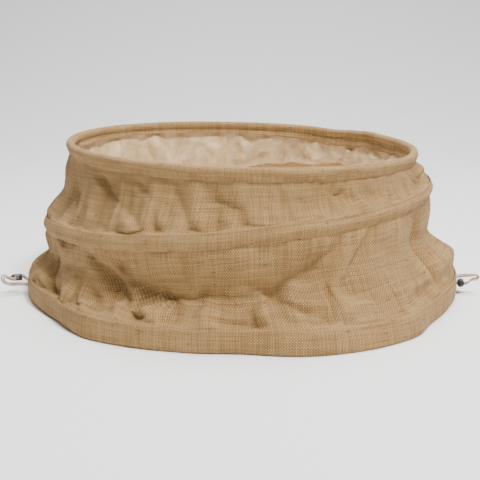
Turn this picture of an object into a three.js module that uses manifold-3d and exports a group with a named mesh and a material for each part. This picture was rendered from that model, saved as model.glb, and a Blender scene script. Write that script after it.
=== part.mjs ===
// A collapsible jute collar that hides the stand of a Christmas tree.
//
// A coated steel wire hoop holds the rim open and a thinner one holds the waist. Below the waist the cloth
// flares to a folded hem that stands on the floor. Two elastic drawcords run in the hem, one round the front
// and one round the back. Both come out through a slit at each side, pass together through a spring cord lock,
// turn back in a loop and are sewn down behind the slit.
//
// Millimetres, +Z up, front at -Y. The origin is the middle of the hem's footprint, on the floor.
import * as THREE from "three";
import { mergeVertices } from "three/addons/utils/BufferGeometryUtils.js";
import Module from "manifold-3d";

const wasm = await Module();
wasm.setup();

// Overall sizes
const RIM_RADIUS = 254; // centre of the rim wire
const RIM_HEIGHT = 212; // centre of the rim wire above the floor
const RIM_TILT = 1.5; // degrees, the right side lower
const WAIST_RADIUS = 284; // centre of the waist wire
const WAIST_HEIGHT = 131;
const WAIST_SHIFT = 6; // the waist has slipped to the left by this
const WAIST_TILT = 5.3; // degrees, the left side lower
const WAIST_NOD = 1; // degrees, the front higher
const HEM_RADIUS = 325; // outer face of the hem at the floor
const HEM_HEIGHT = 36;

// Cloth and wire
const CLOTH = 1.5; // laminated jute
const FILM = 0.6; // the lining bonded inside it
const GAP = 0.3; // between neighbouring pieces
const RING_GAP = 0.8; // between pieces that curve round in each other, whose facets don't line up
const RIM_WIRE = 5; // diameter
const WAIST_WIRE = 4;
const SLEEVE_WALL = 1; // crimped tube over a hoop's two ends
const SLEEVE_LENGTH = 30;
const SLEEVE_CLEARANCE = 0.6; // between the sleeve and the wire
const CASING_ROOM = 0.9; // between the sleeve and the casing
const RIM_JOIN = (5 / 6) * Math.PI; // where the rim hoop's ends meet, at the back left
const WAIST_JOIN = Math.PI / 6; // and the waist hoop's, at the back right
const SEAM_FORWARD = 12; // degrees, the side seams are this far forward of the sides
const RIM_FLAP = 9; // cloth below the rim's tube, both sides of the slit
const WAIST_FLAP = 6; // legs of the waist casing, above and below its tube
const CASING_SLIT = 0.4; // between a casing's two legs
const SEAM_TAPE_WIDTH = 18;

// Hem
const HEM_LEAN = 5.5; // the hem's outer face leans in by this at its top
const HEM_THICKNESS = 9; // at the floor
const CHANNEL_BOTTOM = 2;
const CHANNEL_TOP = 28;
const SLIT_WIDTH = 10; // the unsewn stretch at each side

// Drawcords
const CORD = 2.4; // diameter
const CORD_HEIGHT = 14; // in the hem
const CORD_BEND = 6.4; // the held stretch of a drawcord ends this far before the middle of the slit

// Cord locks. A lock's own axis runs from the closed end of its barrel to its button.
const LOCK_RADIUS = 5;
const LOCK_LENGTH = 14.5;
const LOCK_WALL = 1.1;
const LOCK_EDGE = 1.3; // rounding at the ends of the barrel
const PLUNGER_CLEARANCE = 0.25;
const WINDOW = 2 * CORD + 2 * GAP; // length along the axis of the holes that the cords pass through
const WINDOW_ACROSS = 2 * CORD + 0.8;
const WINDOW_CENTRE = 8.2; // in the barrel, from its closed end
const PLUNGER_SEAT = 1.6; // solid end of the plunger below its window
const BUTTON_RADIUS = 2.5;
const BUTTON_REACH = 4.4; // the button stands out of the barrel by this
const SPRING_WIRE = 0.45;
const SPRING_TURNS = 3;
const LEFT_LOCK = [8, 0, 25]; // closed end of the left barrel: out from the hem, backward, up
const RIGHT_LOCK = [5.4, 9.4, 15.7]; // closed end of the right barrel, which points forward

// Facets
const RING_STEPS = 64;
const SHEET_STEPS = 84; // in a whole turn of cloth
const LOCK_STEPS = 16;
const END_STEPS = 32; // along a cord end

const material = (color, roughness, metalness = 0) =>
  new THREE.MeshStandardMaterial({ color, roughness, metalness });
const JUTE = material("#a88a62", 0.92);
const LINING = material("#c9b299", 0.6);
const TAPE = material("#b39468", 0.9);
const STEEL = material("#8e9094", 0.4, 1);
const COATED_WIRE = material("#3a3a3c", 0.5);
const ELASTIC = material("#bfa78c", 0.8);
const PLASTIC = material("#26262a", 0.45);

// A named mesh.
function mesh(name, geometry, look) {
  const made = new THREE.Mesh(geometry, look);
  made.name = name;
  return made;
}

// Booleans: a closed geometry as a solid, and a solid as a geometry.
function solidOf(geometry) {
  const bare = geometry.clone();
  bare.deleteAttribute("normal");
  bare.deleteAttribute("uv");
  const merged = mergeVertices(bare, 1e-4);
  return new wasm.Manifold(
    new wasm.Mesh({
      numProp: 3,
      vertProperties: merged.attributes.position.array,
      triVerts: new Uint32Array(merged.index.array),
    }),
  );
}

function geometryOf(solid) {
  const { vertProperties, triVerts } = solid.getMesh();
  const made = new THREE.BufferGeometry();
  made.setAttribute("position", new THREE.BufferAttribute(vertProperties, 3));
  made.setIndex(new THREE.BufferAttribute(triVerts, 1));
  return made;
}

// Turns a closed outline of [radius, height] points about Z.
function turned(outline, steps = RING_STEPS) {
  const points = [...outline, outline[0]].map(([r, h]) => new THREE.Vector2(r, h));
  return new THREE.LatheGeometry(points, steps).rotateX(Math.PI / 2);
}

// A round outline as points, from one angle to another.
function arcPoints(x, y, radius, from, to, steps) {
  return Array.from({ length: steps + 1 }, (_, i) => {
    const angle = from + ((to - from) * i) / steps;
    return [x + radius * Math.cos(angle), y + radius * Math.sin(angle)];
  });
}

const disc = (radius, sides) =>
  new THREE.Shape(arcPoints(0, 0, radius, 0, 2 * Math.PI, sides).slice(0, -1).map(([x, y]) => new THREE.Vector2(x, y)));

// Sweeps a shape along a path.
const swept = (shape, extrudePath, steps) =>
  new THREE.ExtrudeGeometry(shape, { steps, extrudePath, bevelEnabled: false });

// A level arc about Z, from one angle to another, at one height.
class LevelArc extends THREE.Curve {
  constructor(radius, height, from, to) {
    super();
    Object.assign(this, { radius, height, from, to });
  }

  getPoint(t, target = new THREE.Vector3()) {
    const angle = this.from + (this.to - this.from) * t;
    return target.set(this.radius * Math.cos(angle), this.radius * Math.sin(angle), this.height);
  }
}

// A compression spring's centreline along Z.
class Coil extends THREE.Curve {
  constructor(radius, from, to, turns) {
    super();
    Object.assign(this, { radius, from, to, turns });
  }

  getPoint(t, target = new THREE.Vector3()) {
    const angle = 2 * Math.PI * this.turns * t;
    const height = this.from + (this.to - this.from) * t;
    return target.set(this.radius * Math.cos(angle), this.radius * Math.sin(angle), height);
  }
}

// The frames that the rim and the waist are built in.
const rim = new THREE.Group();
rim.position.z = RIM_HEIGHT;
rim.rotation.y = THREE.MathUtils.degToRad(RIM_TILT);
const waist = new THREE.Group();
waist.position.set(-WAIST_SHIFT, 0, WAIST_HEIGHT);
waist.rotation.set(-THREE.MathUtils.degToRad(WAIST_NOD), -THREE.MathUtils.degToRad(WAIST_TILT), 0);
const floor = new THREE.Group();
for (const group of [rim, waist, floor]) group.updateMatrix();

// A casing: a strip folded round a wire's hoop, its two legs running down (or up and down) from the tube.
// Its own frame has the wire at height 0. The inside clears the sleeve that joins the hoop's ends.
const tubeInside = (wire) => wire / 2 + SLEEVE_CLEARANCE + SLEEVE_WALL + CASING_ROOM;
const tubeOutside = (wire) => tubeInside(wire) + CLOTH;
const legHalf = CLOTH + CASING_SLIT / 2;

function casing(ringRadius, wire, flapUp, flapDown) {
  const inside = tubeInside(wire);
  const outside = tubeOutside(wire);
  const slit = CASING_SLIT / 2;
  const open = Math.asin(slit / inside); // half the angle of the slit, seen from the wire
  const neck = Math.asin(legHalf / outside); // half the angle of the legs
  const down = -Math.PI / 2;
  const up = Math.PI / 2;
  const legEnd = -outside - flapDown;
  const top = flapUp ? [[legHalf, outside + flapUp], [-legHalf, outside + flapUp]] : [];
  const outer = flapUp
    ? [
        ...arcPoints(0, 0, outside, down + neck, up - neck, 3),
        ...top,
        ...arcPoints(0, 0, outside, up + neck, down + 2 * Math.PI - neck, 3),
      ]
    : arcPoints(0, 0, outside, down + neck, down + 2 * Math.PI - neck, 7);
  const inner = arcPoints(0, 0, inside, down + 2 * Math.PI - open, down + open, 7);
  const outline = [[legHalf, legEnd], ...outer, [-legHalf, legEnd], [-slit, legEnd], ...inner, [slit, legEnd]];
  return turned(outline.map(([r, h]) => [ringRadius + r, h]));
}

// A hoop of wire, open by a hair where its ends meet, and the sleeve crimped over them.
function hoop(ringRadius, wire, joinAngle) {
  const half = 0.5 / ringRadius;
  const path = new LevelArc(ringRadius, 0, joinAngle + half, joinAngle + 2 * Math.PI - half);
  return swept(disc(wire / 2, 8), path, RING_STEPS);
}

function sleeve(ringRadius, wire, joinAngle) {
  const half = SLEEVE_LENGTH / 2 / ringRadius;
  const bore = wire / 2 + SLEEVE_CLEARANCE;
  const section = disc(bore + SLEEVE_WALL, 10);
  section.holes.push(disc(bore, 10));
  return swept(section, new LevelArc(ringRadius, 0, joinAngle - half, joinAngle + half), 6);
}

// A sheet that runs round from one angle to another, between two rings. A ring has a frame, a radius and a
// height in that frame. inner and outer are the sheet's faces, measured outwards from the rings.
function sheet(low, high, inner, outer, from, to, steps) {
  const made = new THREE.BoxGeometry(1, 1, 1, steps, 1, 1);
  const place = made.attributes.position;
  const onRing = (ring, angle, out) => {
    const r = ring.radius + out;
    return new THREE.Vector3(r * Math.cos(angle), r * Math.sin(angle), ring.height).applyMatrix4(ring.frame.matrix);
  };
  for (let i = 0; i < place.count; i += 1) {
    const angle = from + (to - from) * (place.getX(i) + 0.5);
    const out = inner + (outer - inner) * (place.getZ(i) + 0.5);
    const bottom = onRing(low, angle, out);
    const point = bottom.lerp(onRing(high, angle, out), place.getY(i) + 0.5);
    place.setXYZ(i, point.x, point.y, point.z);
  }
  return made;
}

// The rings where cloth meets a casing or the hem.
const rimEdge = { frame: rim, radius: RIM_RADIUS, height: -tubeOutside(RIM_WIRE) - RIM_FLAP - GAP };
const waistTop = { frame: waist, radius: WAIST_RADIUS, height: tubeOutside(WAIST_WIRE) + WAIST_FLAP + GAP };
const waistBottom = { frame: waist, radius: WAIST_RADIUS, height: -waistTop.height };
const hemTopRadius = HEM_RADIUS - HEM_LEAN;
const hemTop = { frame: floor, radius: hemTopRadius - CLOTH, height: HEM_HEIGHT + GAP };

// The front half runs from the left seam through -Y to the right one, the back half round through +Y.
const seam = THREE.MathUtils.degToRad(SEAM_FORWARD);
const HALVES = [
  { name: "front", from: Math.PI + seam, to: 2 * Math.PI - seam },
  { name: "back", from: -seam, to: Math.PI + seam },
];
const SIDES = [
  { name: "left", angle: Math.PI + seam },
  { name: "right", angle: -seam },
];
const TIERS = [
  { name: "upper", low: waistTop, high: rimEdge },
  { name: "lower", low: hemTop, high: waistBottom },
];

// Cloth panels with their bonded lining, and the tapes that cover the side seams inside.
function tier({ name, low, high }) {
  const group = new THREE.Group();
  const half = CLOTH / 2;
  const shy = GAP / 2 / WAIST_RADIUS; // the halves stop this angle short of the seam
  const film = -half - RING_GAP;
  for (const { name: side, from, to } of HALVES) {
    const steps = Math.round(((to - from) / 2 / Math.PI) * SHEET_STEPS);
    const round = [from + shy, to - shy, steps];
    group.add(mesh(`${name}_${side}_panel`, sheet(low, high, -half, half, ...round), JUTE));
    group.add(mesh(`${name}_${side}_lining`, sheet(low, high, film - FILM, film, ...round), LINING));
  }
  const tapeFace = film - FILM - RING_GAP;
  for (const { name: side, angle } of SIDES) {
    const spread = SEAM_TAPE_WIDTH / 2 / WAIST_RADIUS;
    const tape = sheet(low, high, tapeFace - CLOTH, tapeFace, angle - spread, angle + spread, 2);
    group.add(mesh(`${name}_${side}_seam_tape`, tape, TAPE));
  }
  return group;
}

// The hem: the cloth's lower edge folded up inside and sewn, which leaves a channel round the foot.
const hemOuter = (height) => HEM_RADIUS - (HEM_LEAN * height) / HEM_HEIGHT;
const hemInnerTop = hemTopRadius - 2 * CLOTH;
const hemInnerFoot = HEM_RADIUS - HEM_THICKNESS;
const hemInner = (height) => hemInnerFoot + ((hemInnerTop - hemInnerFoot) * height) / HEM_HEIGHT;

// A wedge about Z, to cut a ring with.
function wedge(from, to) {
  const reach = 2 * HEM_RADIUS;
  const rim = arcPoints(0, 0, reach, from, to, 24);
  const shape = new THREE.Shape([[0, 0], ...rim].map(([x, y]) => new THREE.Vector2(x, y)));
  const depth = 4 * HEM_HEIGHT;
  return new THREE.ExtrudeGeometry(shape, { depth, bevelEnabled: false }).translate(0, 0, -depth / 2);
}

function hem() {
  const body = solidOf(turned([
    [hemInnerFoot, 0],
    [HEM_RADIUS, 0],
    [hemTopRadius, HEM_HEIGHT],
    [hemInnerTop, HEM_HEIGHT],
  ]));
  const channel = solidOf(turned([
    [hemInner(CHANNEL_BOTTOM) + CLOTH, CHANNEL_BOTTOM],
    [hemOuter(CHANNEL_BOTTOM) - CLOTH, CHANNEL_BOTTOM],
    [hemOuter(CHANNEL_TOP) - CLOTH, CHANNEL_TOP],
    [hemInner(CHANNEL_TOP) + CLOTH, CHANNEL_TOP],
  ]));
  const ring = body.subtract(channel);
  const shy = SLIT_WIDTH / 2 / HEM_RADIUS;
  return HALVES.map(({ name, from, to }) =>
    mesh(`hem_${name}`, geometryOf(ring.intersect(solidOf(wedge(from + shy, to - shy)))), JUTE),
  );
}

// The tab behind each slit, where the cords' ends are sewn down.
function slitTab({ name, angle }) {
  const spread = SEAM_TAPE_WIDTH / 2 / HEM_RADIUS;
  const foot = { frame: floor, radius: hemInnerFoot, height: 0 };
  const top = { frame: floor, radius: hemInnerTop, height: HEM_HEIGHT };
  const tab = sheet(foot, top, -RING_GAP - CLOTH, -RING_GAP, angle - spread, angle + spread, 2);
  return mesh(`${name}_cord_tab`, tab, TAPE);
}

// The drawcords inside the hem, from the left slit to the right one.
const cordRing = (hemOuter(CORD_HEIGHT) + hemInner(CORD_HEIGHT)) / 2;

function drawcord({ name, from, to }) {
  const shy = (CORD_BEND + GAP) / cordRing;
  const path = new LevelArc(cordRing, CORD_HEIGHT, from + shy, to - shy);
  return mesh(`${name}_drawcord`, swept(disc(CORD / 2, 8), path, 64), ELASTIC);
}

// The free ends of the drawcords. A point is [out from the hem's foot, backward from the slit, up].
// Each end leaves the hem's channel, goes out through the slit and the lock, turns round in a loop and comes
// back to the tab behind the slit.
const IN_CHANNEL = cordRing - HEM_RADIUS;
const AT_TAB = -HEM_THICKNESS + GAP;
const CORD_ENDS = {
  left_front: [
    [IN_CHANNEL, -CORD_BEND, CORD_HEIGHT], [-5.4, -4.4, 14.3], [-4.1, -1.7, 16.8], [-0.6, 0.2, 20.8],
    [3.4, 3.4, 24.6],
    [8, 7.2, 26.6], [12.6, 9.2, 26.7], [16.4, 7.6, 26.4], [17.4, 4.2, 26.35], [17.4, 0, 26.35],
    [17.4, -5.2, 26.35], [18.6, -8.6, 26.6], [22.4, -10, 27.2], [27, -8, 28.8], [31.6, -4.6, 30.4],
    [35.6, -1.6, 29.6], [37.6, 0.2, 25.8], [37, 0.8, 21], [33.4, 0.8, 16.8], [27.4, 0.4, 14.2],
    [19, -0.2, 13.4], [10, -0.4, 13.2], [3, -0.4, 12.4], [-3, -0.2, 10.4], [AT_TAB, 0, 8.8],
  ],
  left_back: [
    [IN_CHANNEL, CORD_BEND, CORD_HEIGHT], [-5.4, 4.5, 14.2], [-4, 2.5, 15.6], [-1.2, 1.6, 17.9],
    [2.6, 3.2, 21.2],
    [7, 6.8, 23.2], [12, 9.6, 23.7], [16.2, 8, 23.65], [17.4, 4.2, 23.65], [17.4, 0, 23.65],
    [17.4, -5.4, 23.65], [18.8, -8.6, 23.7], [22.6, -9.4, 24.2], [26.8, -6.8, 25.6], [30.6, -3.6, 26.8],
    [33.4, -1, 26], [34.5, 0.6, 23.2], [33, 1, 19.8], [28.8, 0.8, 17.4], [23, 0.4, 16.3],
    [15, 0, 16], [8, -0.2, 15.9], [2, -0.2, 15], [-3.6, 0, 12.9], [AT_TAB, 0, 11.8],
  ],
  right_front: [
    [IN_CHANNEL, -CORD_BEND, CORD_HEIGHT], [-5.4, -4.4, 14.2], [-4.2, -1.8, 16], [-1, -0.3, 17.2],
    [2.4, 0, 17.05],
    [5.4, 0, 17.05], [10, 0, 17.05], [14.4, -0.5, 17.4], [18.6, -1.3, 19.8], [22.6, -1.4, 21.7],
    [26.6, -1.35, 22.2], [29.8, -1.35, 24.2], [30.6, -1.35, 27], [28.6, -1.35, 29.6], [24.6, -1.35, 30.2],
    [18, -1.2, 29.8], [11, -0.9, 29.4], [4, -0.5, 28.6], [-2, -0.2, 27.4], [AT_TAB, 0, 26.6],
  ],
  right_back: [
    [IN_CHANNEL, CORD_BEND, CORD_HEIGHT], [-5.4, 4.4, 14], [-4.2, 1.8, 14.1], [-1, 0.3, 14.3],
    [2.4, 0, 14.35],
    [5.4, 0, 14.35], [10, 0, 14.35], [14.2, 0.6, 15], [17.4, 1.6, 17.8], [20.6, 1.9, 21.4],
    [24, 1.7, 23.6], [27.6, 1.7, 24.2], [29.4, 1.7, 26], [28.6, 1.7, 28], [25.6, 1.7, 28.4],
    [21, 1.6, 27.4], [15, 1.4, 26.6], [9, 1.1, 26], [3.4, 0.7, 25], [-2, 0.3, 23.6], [AT_TAB, 0, 22.8],
  ],
};

// A side's own frame: +X out, and its second axis backward or forward as the turn about Z leaves it.
function sideFrame({ angle }) {
  const group = new THREE.Group();
  group.rotation.z = angle;
  return group;
}

const backward = { left: -1, right: 1 }; // the side frame's Y for one step backward
const sidePoint = (name, [out, back, up]) => new THREE.Vector3(HEM_RADIUS + out, backward[name] * back, up);

function cordEnds({ name }) {
  return HALVES.map(({ name: half }) => {
    const points = CORD_ENDS[`${name}_${half}`].map((point) => sidePoint(name, point));
    const path = new THREE.CatmullRomCurve3(points, false, "centripetal");
    return mesh(`${name}_${half}_cord_end`, swept(disc(CORD / 2, 8), path, END_STEPS), ELASTIC);
  });
}

// A spring cord lock, built along Z from the closed end of its barrel, with its window along Y.
// Released, the spring holds the plunger's window above the barrel's by the button's travel, which pinches
// the cords. Pressed, the two windows line up.
const BUTTON_TRAVEL = WINDOW - CORD - 2 * GAP;
const boreRadius = LOCK_RADIUS - LOCK_WALL;
const plungerRadius = boreRadius - PLUNGER_CLEARANCE;
const plungerWindow = WINDOW_CENTRE + BUTTON_TRAVEL;
const plungerFoot = plungerWindow - WINDOW / 2 - PLUNGER_SEAT;

function windowThrough(height) {
  return solidOf(new THREE.BoxGeometry(WINDOW_ACROSS, 4 * LOCK_RADIUS, WINDOW).translate(0, 0, height));
}

function lockBarrel(name) {
  const body = turned([
    [0, 0],
    ...arcPoints(LOCK_RADIUS - LOCK_EDGE, LOCK_EDGE, LOCK_EDGE, -Math.PI / 2, 0, 3),
    [LOCK_RADIUS, LOCK_LENGTH - LOCK_WALL / 2],
    [LOCK_RADIUS - LOCK_WALL / 2, LOCK_LENGTH],
    [boreRadius, LOCK_LENGTH],
    [boreRadius, LOCK_WALL],
    [0, LOCK_WALL],
  ], LOCK_STEPS);
  return mesh(name, geometryOf(solidOf(body).subtract(windowThrough(WINDOW_CENTRE))), PLASTIC);
}

function lockPlunger(name) {
  const shoulder = LOCK_LENGTH - GAP;
  const top = LOCK_LENGTH + BUTTON_REACH;
  const body = turned([
    [0, plungerFoot],
    [plungerRadius, plungerFoot],
    [plungerRadius, shoulder],
    [BUTTON_RADIUS, shoulder],
    ...arcPoints(0, top - BUTTON_RADIUS, BUTTON_RADIUS, 0, Math.PI / 2, 4),
  ], LOCK_STEPS);
  return mesh(name, geometryOf(solidOf(body).subtract(windowThrough(plungerWindow))), PLASTIC);
}

function lockSpring(name) {
  const radius = boreRadius - GAP - SPRING_WIRE;
  const low = LOCK_WALL + GAP + SPRING_WIRE;
  const high = plungerFoot - GAP - SPRING_WIRE;
  const coil = new Coil(radius, low, high, SPRING_TURNS);
  return mesh(name, swept(disc(SPRING_WIRE / 2, 6), coil, 10 * SPRING_TURNS), STEEL);
}

// Turns a lock's axis to a direction in its side's frame, with the window's width upright.
function lock({ name }, closedEnd, axis) {
  const group = new THREE.Group();
  const up = new THREE.Vector3(0, 0, 1);
  const basis = new THREE.Matrix4().makeBasis(up, new THREE.Vector3().crossVectors(axis, up), axis);
  group.quaternion.setFromRotationMatrix(basis);
  group.position.copy(sidePoint(name, closedEnd));
  const pieces = [lockBarrel(`${name}_lock_barrel`), lockPlunger(`${name}_lock_plunger`)];
  return group.add(...pieces, lockSpring(`${name}_lock_spring`));
}

// The whole collar
rim.add(
  mesh("rim_hoop", hoop(RIM_RADIUS, RIM_WIRE, RIM_JOIN), COATED_WIRE),
  mesh("rim_hoop_sleeve", sleeve(RIM_RADIUS, RIM_WIRE, RIM_JOIN), STEEL),
  mesh("rim_casing", casing(RIM_RADIUS, RIM_WIRE, 0, RIM_FLAP), JUTE),
);
waist.add(
  mesh("waist_hoop", hoop(WAIST_RADIUS, WAIST_WIRE, WAIST_JOIN), COATED_WIRE),
  mesh("waist_hoop_sleeve", sleeve(WAIST_RADIUS, WAIST_WIRE, WAIST_JOIN), STEEL),
  mesh("waist_casing", casing(WAIST_RADIUS, WAIST_WIRE, WAIST_FLAP, WAIST_FLAP), JUTE),
);
floor.add(...hem(), ...SIDES.map(slitTab), ...HALVES.map(drawcord));
const [leftSide, rightSide] = SIDES.map((side) => sideFrame(side).add(...cordEnds(side)));
leftSide.add(lock(SIDES[0], LEFT_LOCK, new THREE.Vector3(1, 0, 0)));
rightSide.add(lock(SIDES[1], RIGHT_LOCK, new THREE.Vector3(0, -1, 0)));

const group = new THREE.Group();
group.name = "tree_collar";
group.add(rim, waist, floor, ...TIERS.map(tier), leftSide, rightSide);
export default group;
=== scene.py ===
"""The looks of a collapsible jute collar for the foot of a Christmas tree.

Two tiers of stiff laminated jute hang between a rim hoop, a tilted waist hoop and a folded hem. Elastic
drawcords come out of the hem at both sides and run through spring cord locks. Everything is in metres, +Z up,
with the front at -Y. An azimuth is an angle about Z from the front, positive to the right.
"""
import logging
import math
from dataclasses import dataclass, field
from enum import Enum
from functools import partial
from typing import Callable, Iterable, Sequence

import bmesh
import bpy
import numpy as np
from mathutils import Matrix, Vector, noise


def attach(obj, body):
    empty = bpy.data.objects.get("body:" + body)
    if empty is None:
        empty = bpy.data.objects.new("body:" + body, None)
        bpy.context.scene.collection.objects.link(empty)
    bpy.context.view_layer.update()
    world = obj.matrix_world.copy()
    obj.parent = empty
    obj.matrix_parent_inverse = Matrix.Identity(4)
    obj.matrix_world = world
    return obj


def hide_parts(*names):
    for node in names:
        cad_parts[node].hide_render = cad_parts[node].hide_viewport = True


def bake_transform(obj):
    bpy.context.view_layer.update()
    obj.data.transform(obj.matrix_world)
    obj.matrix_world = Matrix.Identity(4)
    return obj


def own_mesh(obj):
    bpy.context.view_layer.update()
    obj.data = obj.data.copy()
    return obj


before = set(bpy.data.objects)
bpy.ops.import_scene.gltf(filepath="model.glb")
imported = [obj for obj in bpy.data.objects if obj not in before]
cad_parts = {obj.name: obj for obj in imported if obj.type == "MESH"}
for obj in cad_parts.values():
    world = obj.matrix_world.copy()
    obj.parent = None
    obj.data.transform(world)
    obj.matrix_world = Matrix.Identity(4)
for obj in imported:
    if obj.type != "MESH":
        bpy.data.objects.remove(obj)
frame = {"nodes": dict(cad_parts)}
log = logging.getLogger("tree_collar")

MM = 0.001
Point = tuple[float, float, float]
Node = bpy.types.Node
Socket = bpy.types.NodeSocket
Curve = Callable[[np.ndarray], np.ndarray]

# Lengths in metres and angles in degrees, shared by the pieces.
SLIT_AZIMUTH = 78.0
SLITS = {"left": -SLIT_AZIMUTH, "right": SLIT_AZIMUTH}
HEM_RADIUS = 0.325
HEM_TOP_RADIUS = 0.3208
UPPER_RADIUS = 0.27
UPPER_HEIGHT = 0.072
LOWER_RADIUS = 0.30
LOWER_HEIGHT = 0.098


# ---------------------------------------------------------------------------------------------- finishes


def srgb(code: str) -> tuple[float, float, float, float]:
    """Turns an sRGB hex colour into the linear values that a shader takes.

    Args:
        code: Six hex digits, such as "b09470".

    Returns:
        Linear red, green and blue, and an alpha of 1.
    """
    parts = [int(code[i : i + 2], 16) / 255 for i in (0, 2, 4)]
    linear = [c / 12.92 if c <= 0.04045 else ((c + 0.055) / 1.055) ** 2.4 for c in parts]
    return (*linear, 1.0)


def add(tree: bpy.types.NodeTree, kind: str, settings: dict | None = None, **links) -> Node:
    """Adds a node with its settings and what feeds it.

    Args:
        tree: The material's node tree.
        kind: The node's type, without the leading "ShaderNode".
        settings: Properties of the node, such as its operation.
        **links: What feeds each input: a value, an output, or a node whose first output is used. An input
            goes by its name with "_" for a space, or by its number, such as in0.

    Returns:
        The new node.
    """
    node = tree.nodes.new("ShaderNode" + kind)
    for name, value in (settings or {}).items():
        setattr(node, name, value)
    for name, value in links.items():
        numbered = name.startswith("in") and name[2:].isdigit()
        socket = node.inputs[int(name[2:])] if numbered else node.inputs[name.replace("_", " ")]
        if isinstance(value, Node):
            value = value.outputs[0]
        if isinstance(value, bpy.types.NodeSocket):
            tree.links.new(value, socket)
        else:
            socket.default_value = value
    return node


def blank_material(name: str) -> tuple[bpy.types.Material, bpy.types.NodeTree]:
    """Makes a material with an empty node tree.

    Args:
        name: The material's name.

    Returns:
        The material and its tree.
    """
    made = bpy.data.materials.new(name)
    made.use_nodes = True
    made.node_tree.nodes.clear()
    return made, made.node_tree


@dataclass(frozen=True)
class WovenJute:
    """Jute plain weave, spun from coarse fibre: uneven yarns, painted shade in the gaps between them, no
    gloss.

    The real yarns are about 1.3 mm apart, too fine to show, so they are drawn wider.
    """

    name: str = "jute_plain_weave"
    yarn: str = "926d42"
    pale: str = "cca972"
    # gap: the dark brown of the slubs, and also painted shade for the hollows between the yarns.
    gap: str = "573c1b"
    pitch: float = 1.7 * MM
    drift: float = 4 * MM
    relief: float = 0.5 * MM
    check: float = 0.55
    roughness: float = 0.9

    def material(self) -> bpy.types.Material:
        """Builds the material on the piece's own UV map, which is in metres.

        Returns:
            The material.
        """
        made, tree = blank_material(self.name)
        uv = add(tree, "UVMap")
        # The yarns wander a little, so that no row is ruled straight.
        wander = add(tree, "TexNoise", Vector=uv, Scale=22.0, Detail=2.0).outputs["Color"]
        drift = (self.drift, self.drift, 0)
        shifted = add(tree, "VectorMath", {"operation": "MULTIPLY_ADD"}, in0=wander, in1=drift, in2=uv)
        yarns = add(tree, "VectorMath", {"operation": "SCALE"}, in0=shifted, Scale=1 / self.pitch)
        axes = add(tree, "SeparateXYZ", in0=yarns)
        x, y = axes.outputs["X"], axes.outputs["Y"]
        turn_x = add(tree, "Math", {"operation": "MULTIPLY"}, in0=x, in1=math.pi)
        turn_y = add(tree, "Math", {"operation": "MULTIPLY"}, in0=y, in1=math.pi)
        wave_x = add(tree, "Math", {"operation": "SINE"}, in0=turn_x)
        wave_y = add(tree, "Math", {"operation": "SINE"}, in0=turn_y)
        warp = self.strand(tree, wave_x, wave_y, 0.42)
        weft = self.strand(tree, wave_y, wave_x, -0.42)
        height = add(tree, "Math", {"operation": "MAXIMUM"}, in0=warp, in1=weft)
        # Each yarn has its own tone, and the cloth is blotchy over a few centimetres.
        tones = [self.yarn_tone(tree, x, y, fine, 1.03 - fine) for fine in (1.0, 0.03)]
        bands = add(tree, "Math", {"operation": "ADD"}, in0=tones[0], in1=tones[1])
        blotch = add(tree, "TexNoise", Vector=uv, Scale=14.0, Detail=3.0)
        both = add(tree, "Math", {"operation": "ADD"}, in0=bands, in1=blotch)
        # The weft is darker than the warp, which is what makes the crossings read as a slanting check.
        over = add(tree, "Math", {"operation": "SUBTRACT"}, in0=warp, in1=weft)
        check = add(tree, "Math", {"operation": "MULTIPLY_ADD"}, in0=over, in1=self.check, in2=both)
        tone = add(tree, "MapRange", Value=check, From_Min=0.95, From_Max=2.05)
        lit = add(tree, "Mix", {"data_type": "RGBA"}, in0=tone, in6=srgb(self.yarn), in7=srgb(self.pale))
        # Slubs: here and there a yarn is thick and brown for a few millimetres.
        drawn_out = add(tree, "VectorMath", {"operation": "MULTIPLY"}, in0=yarns, in1=(0.12, 0.7, 1))
        lumps = add(tree, "TexNoise", Vector=drawn_out, Scale=1.0, Detail=1.0)
        slubs = add(tree, "MapRange", Value=lumps, From_Min=0.66, From_Max=0.76, To_Max=0.65)
        spun = add(tree, "Mix", {"data_type": "RGBA"}, in0=slubs, in6=lit.outputs[2], in7=srgb(self.gap))
        # Painted shade: the low places between the yarns, as the weave's height gives them, take the dark gap
        # colour.
        depth = add(tree, "MapRange", Value=height, From_Min=0.1, From_Max=0.7)
        colour = add(tree, "Mix", {"data_type": "RGBA"}, in0=depth, in6=srgb(self.gap), in7=spun.outputs[2])
        fuzz = add(tree, "TexNoise", Vector=uv, Scale=900.0, Detail=2.0)
        raised = add(tree, "Math", {"operation": "MULTIPLY_ADD"}, in0=fuzz, in1=0.3, in2=height)
        bump = add(tree, "Bump", Strength=0.8, Distance=self.relief, Height=raised)
        shader = add(tree, "BsdfPrincipled", Base_Color=colour.outputs[2], Normal=bump)
        shader.inputs["Roughness"].default_value = self.roughness
        shader.inputs["Sheen Weight"].default_value = 0.04
        shader.inputs["Sheen Roughness"].default_value = 0.6
        shader.inputs["Specular IOR Level"].default_value = 0.2
        add(tree, "OutputMaterial", Surface=shader)
        return made

    @staticmethod
    def strand(tree: bpy.types.NodeTree, across: Node, along: Node, lift: float) -> Node:
        """The height of one set of yarns: round across each, over and under along it.

        Args:
            tree: The material's node tree.
            across: A wave that is nothing between two yarns.
            along: A wave that is nothing where the yarn passes from over to under.
            lift: How far the yarn rises and sinks. The other set's is the opposite.

        Returns:
            The node whose value is the height.
        """
        side = add(tree, "Math", {"operation": "SIGN"}, in0=across)
        swing = add(tree, "Math", {"operation": "MULTIPLY"}, in0=side, in1=along)
        wave = add(tree, "Math", {"operation": "MULTIPLY_ADD"}, in0=swing, in1=lift, in2=0.58)
        across_yarn = add(tree, "Math", {"operation": "ABSOLUTE"}, in0=across)
        return add(tree, "Math", {"operation": "MULTIPLY"}, in0=across_yarn, in1=wave)

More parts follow.
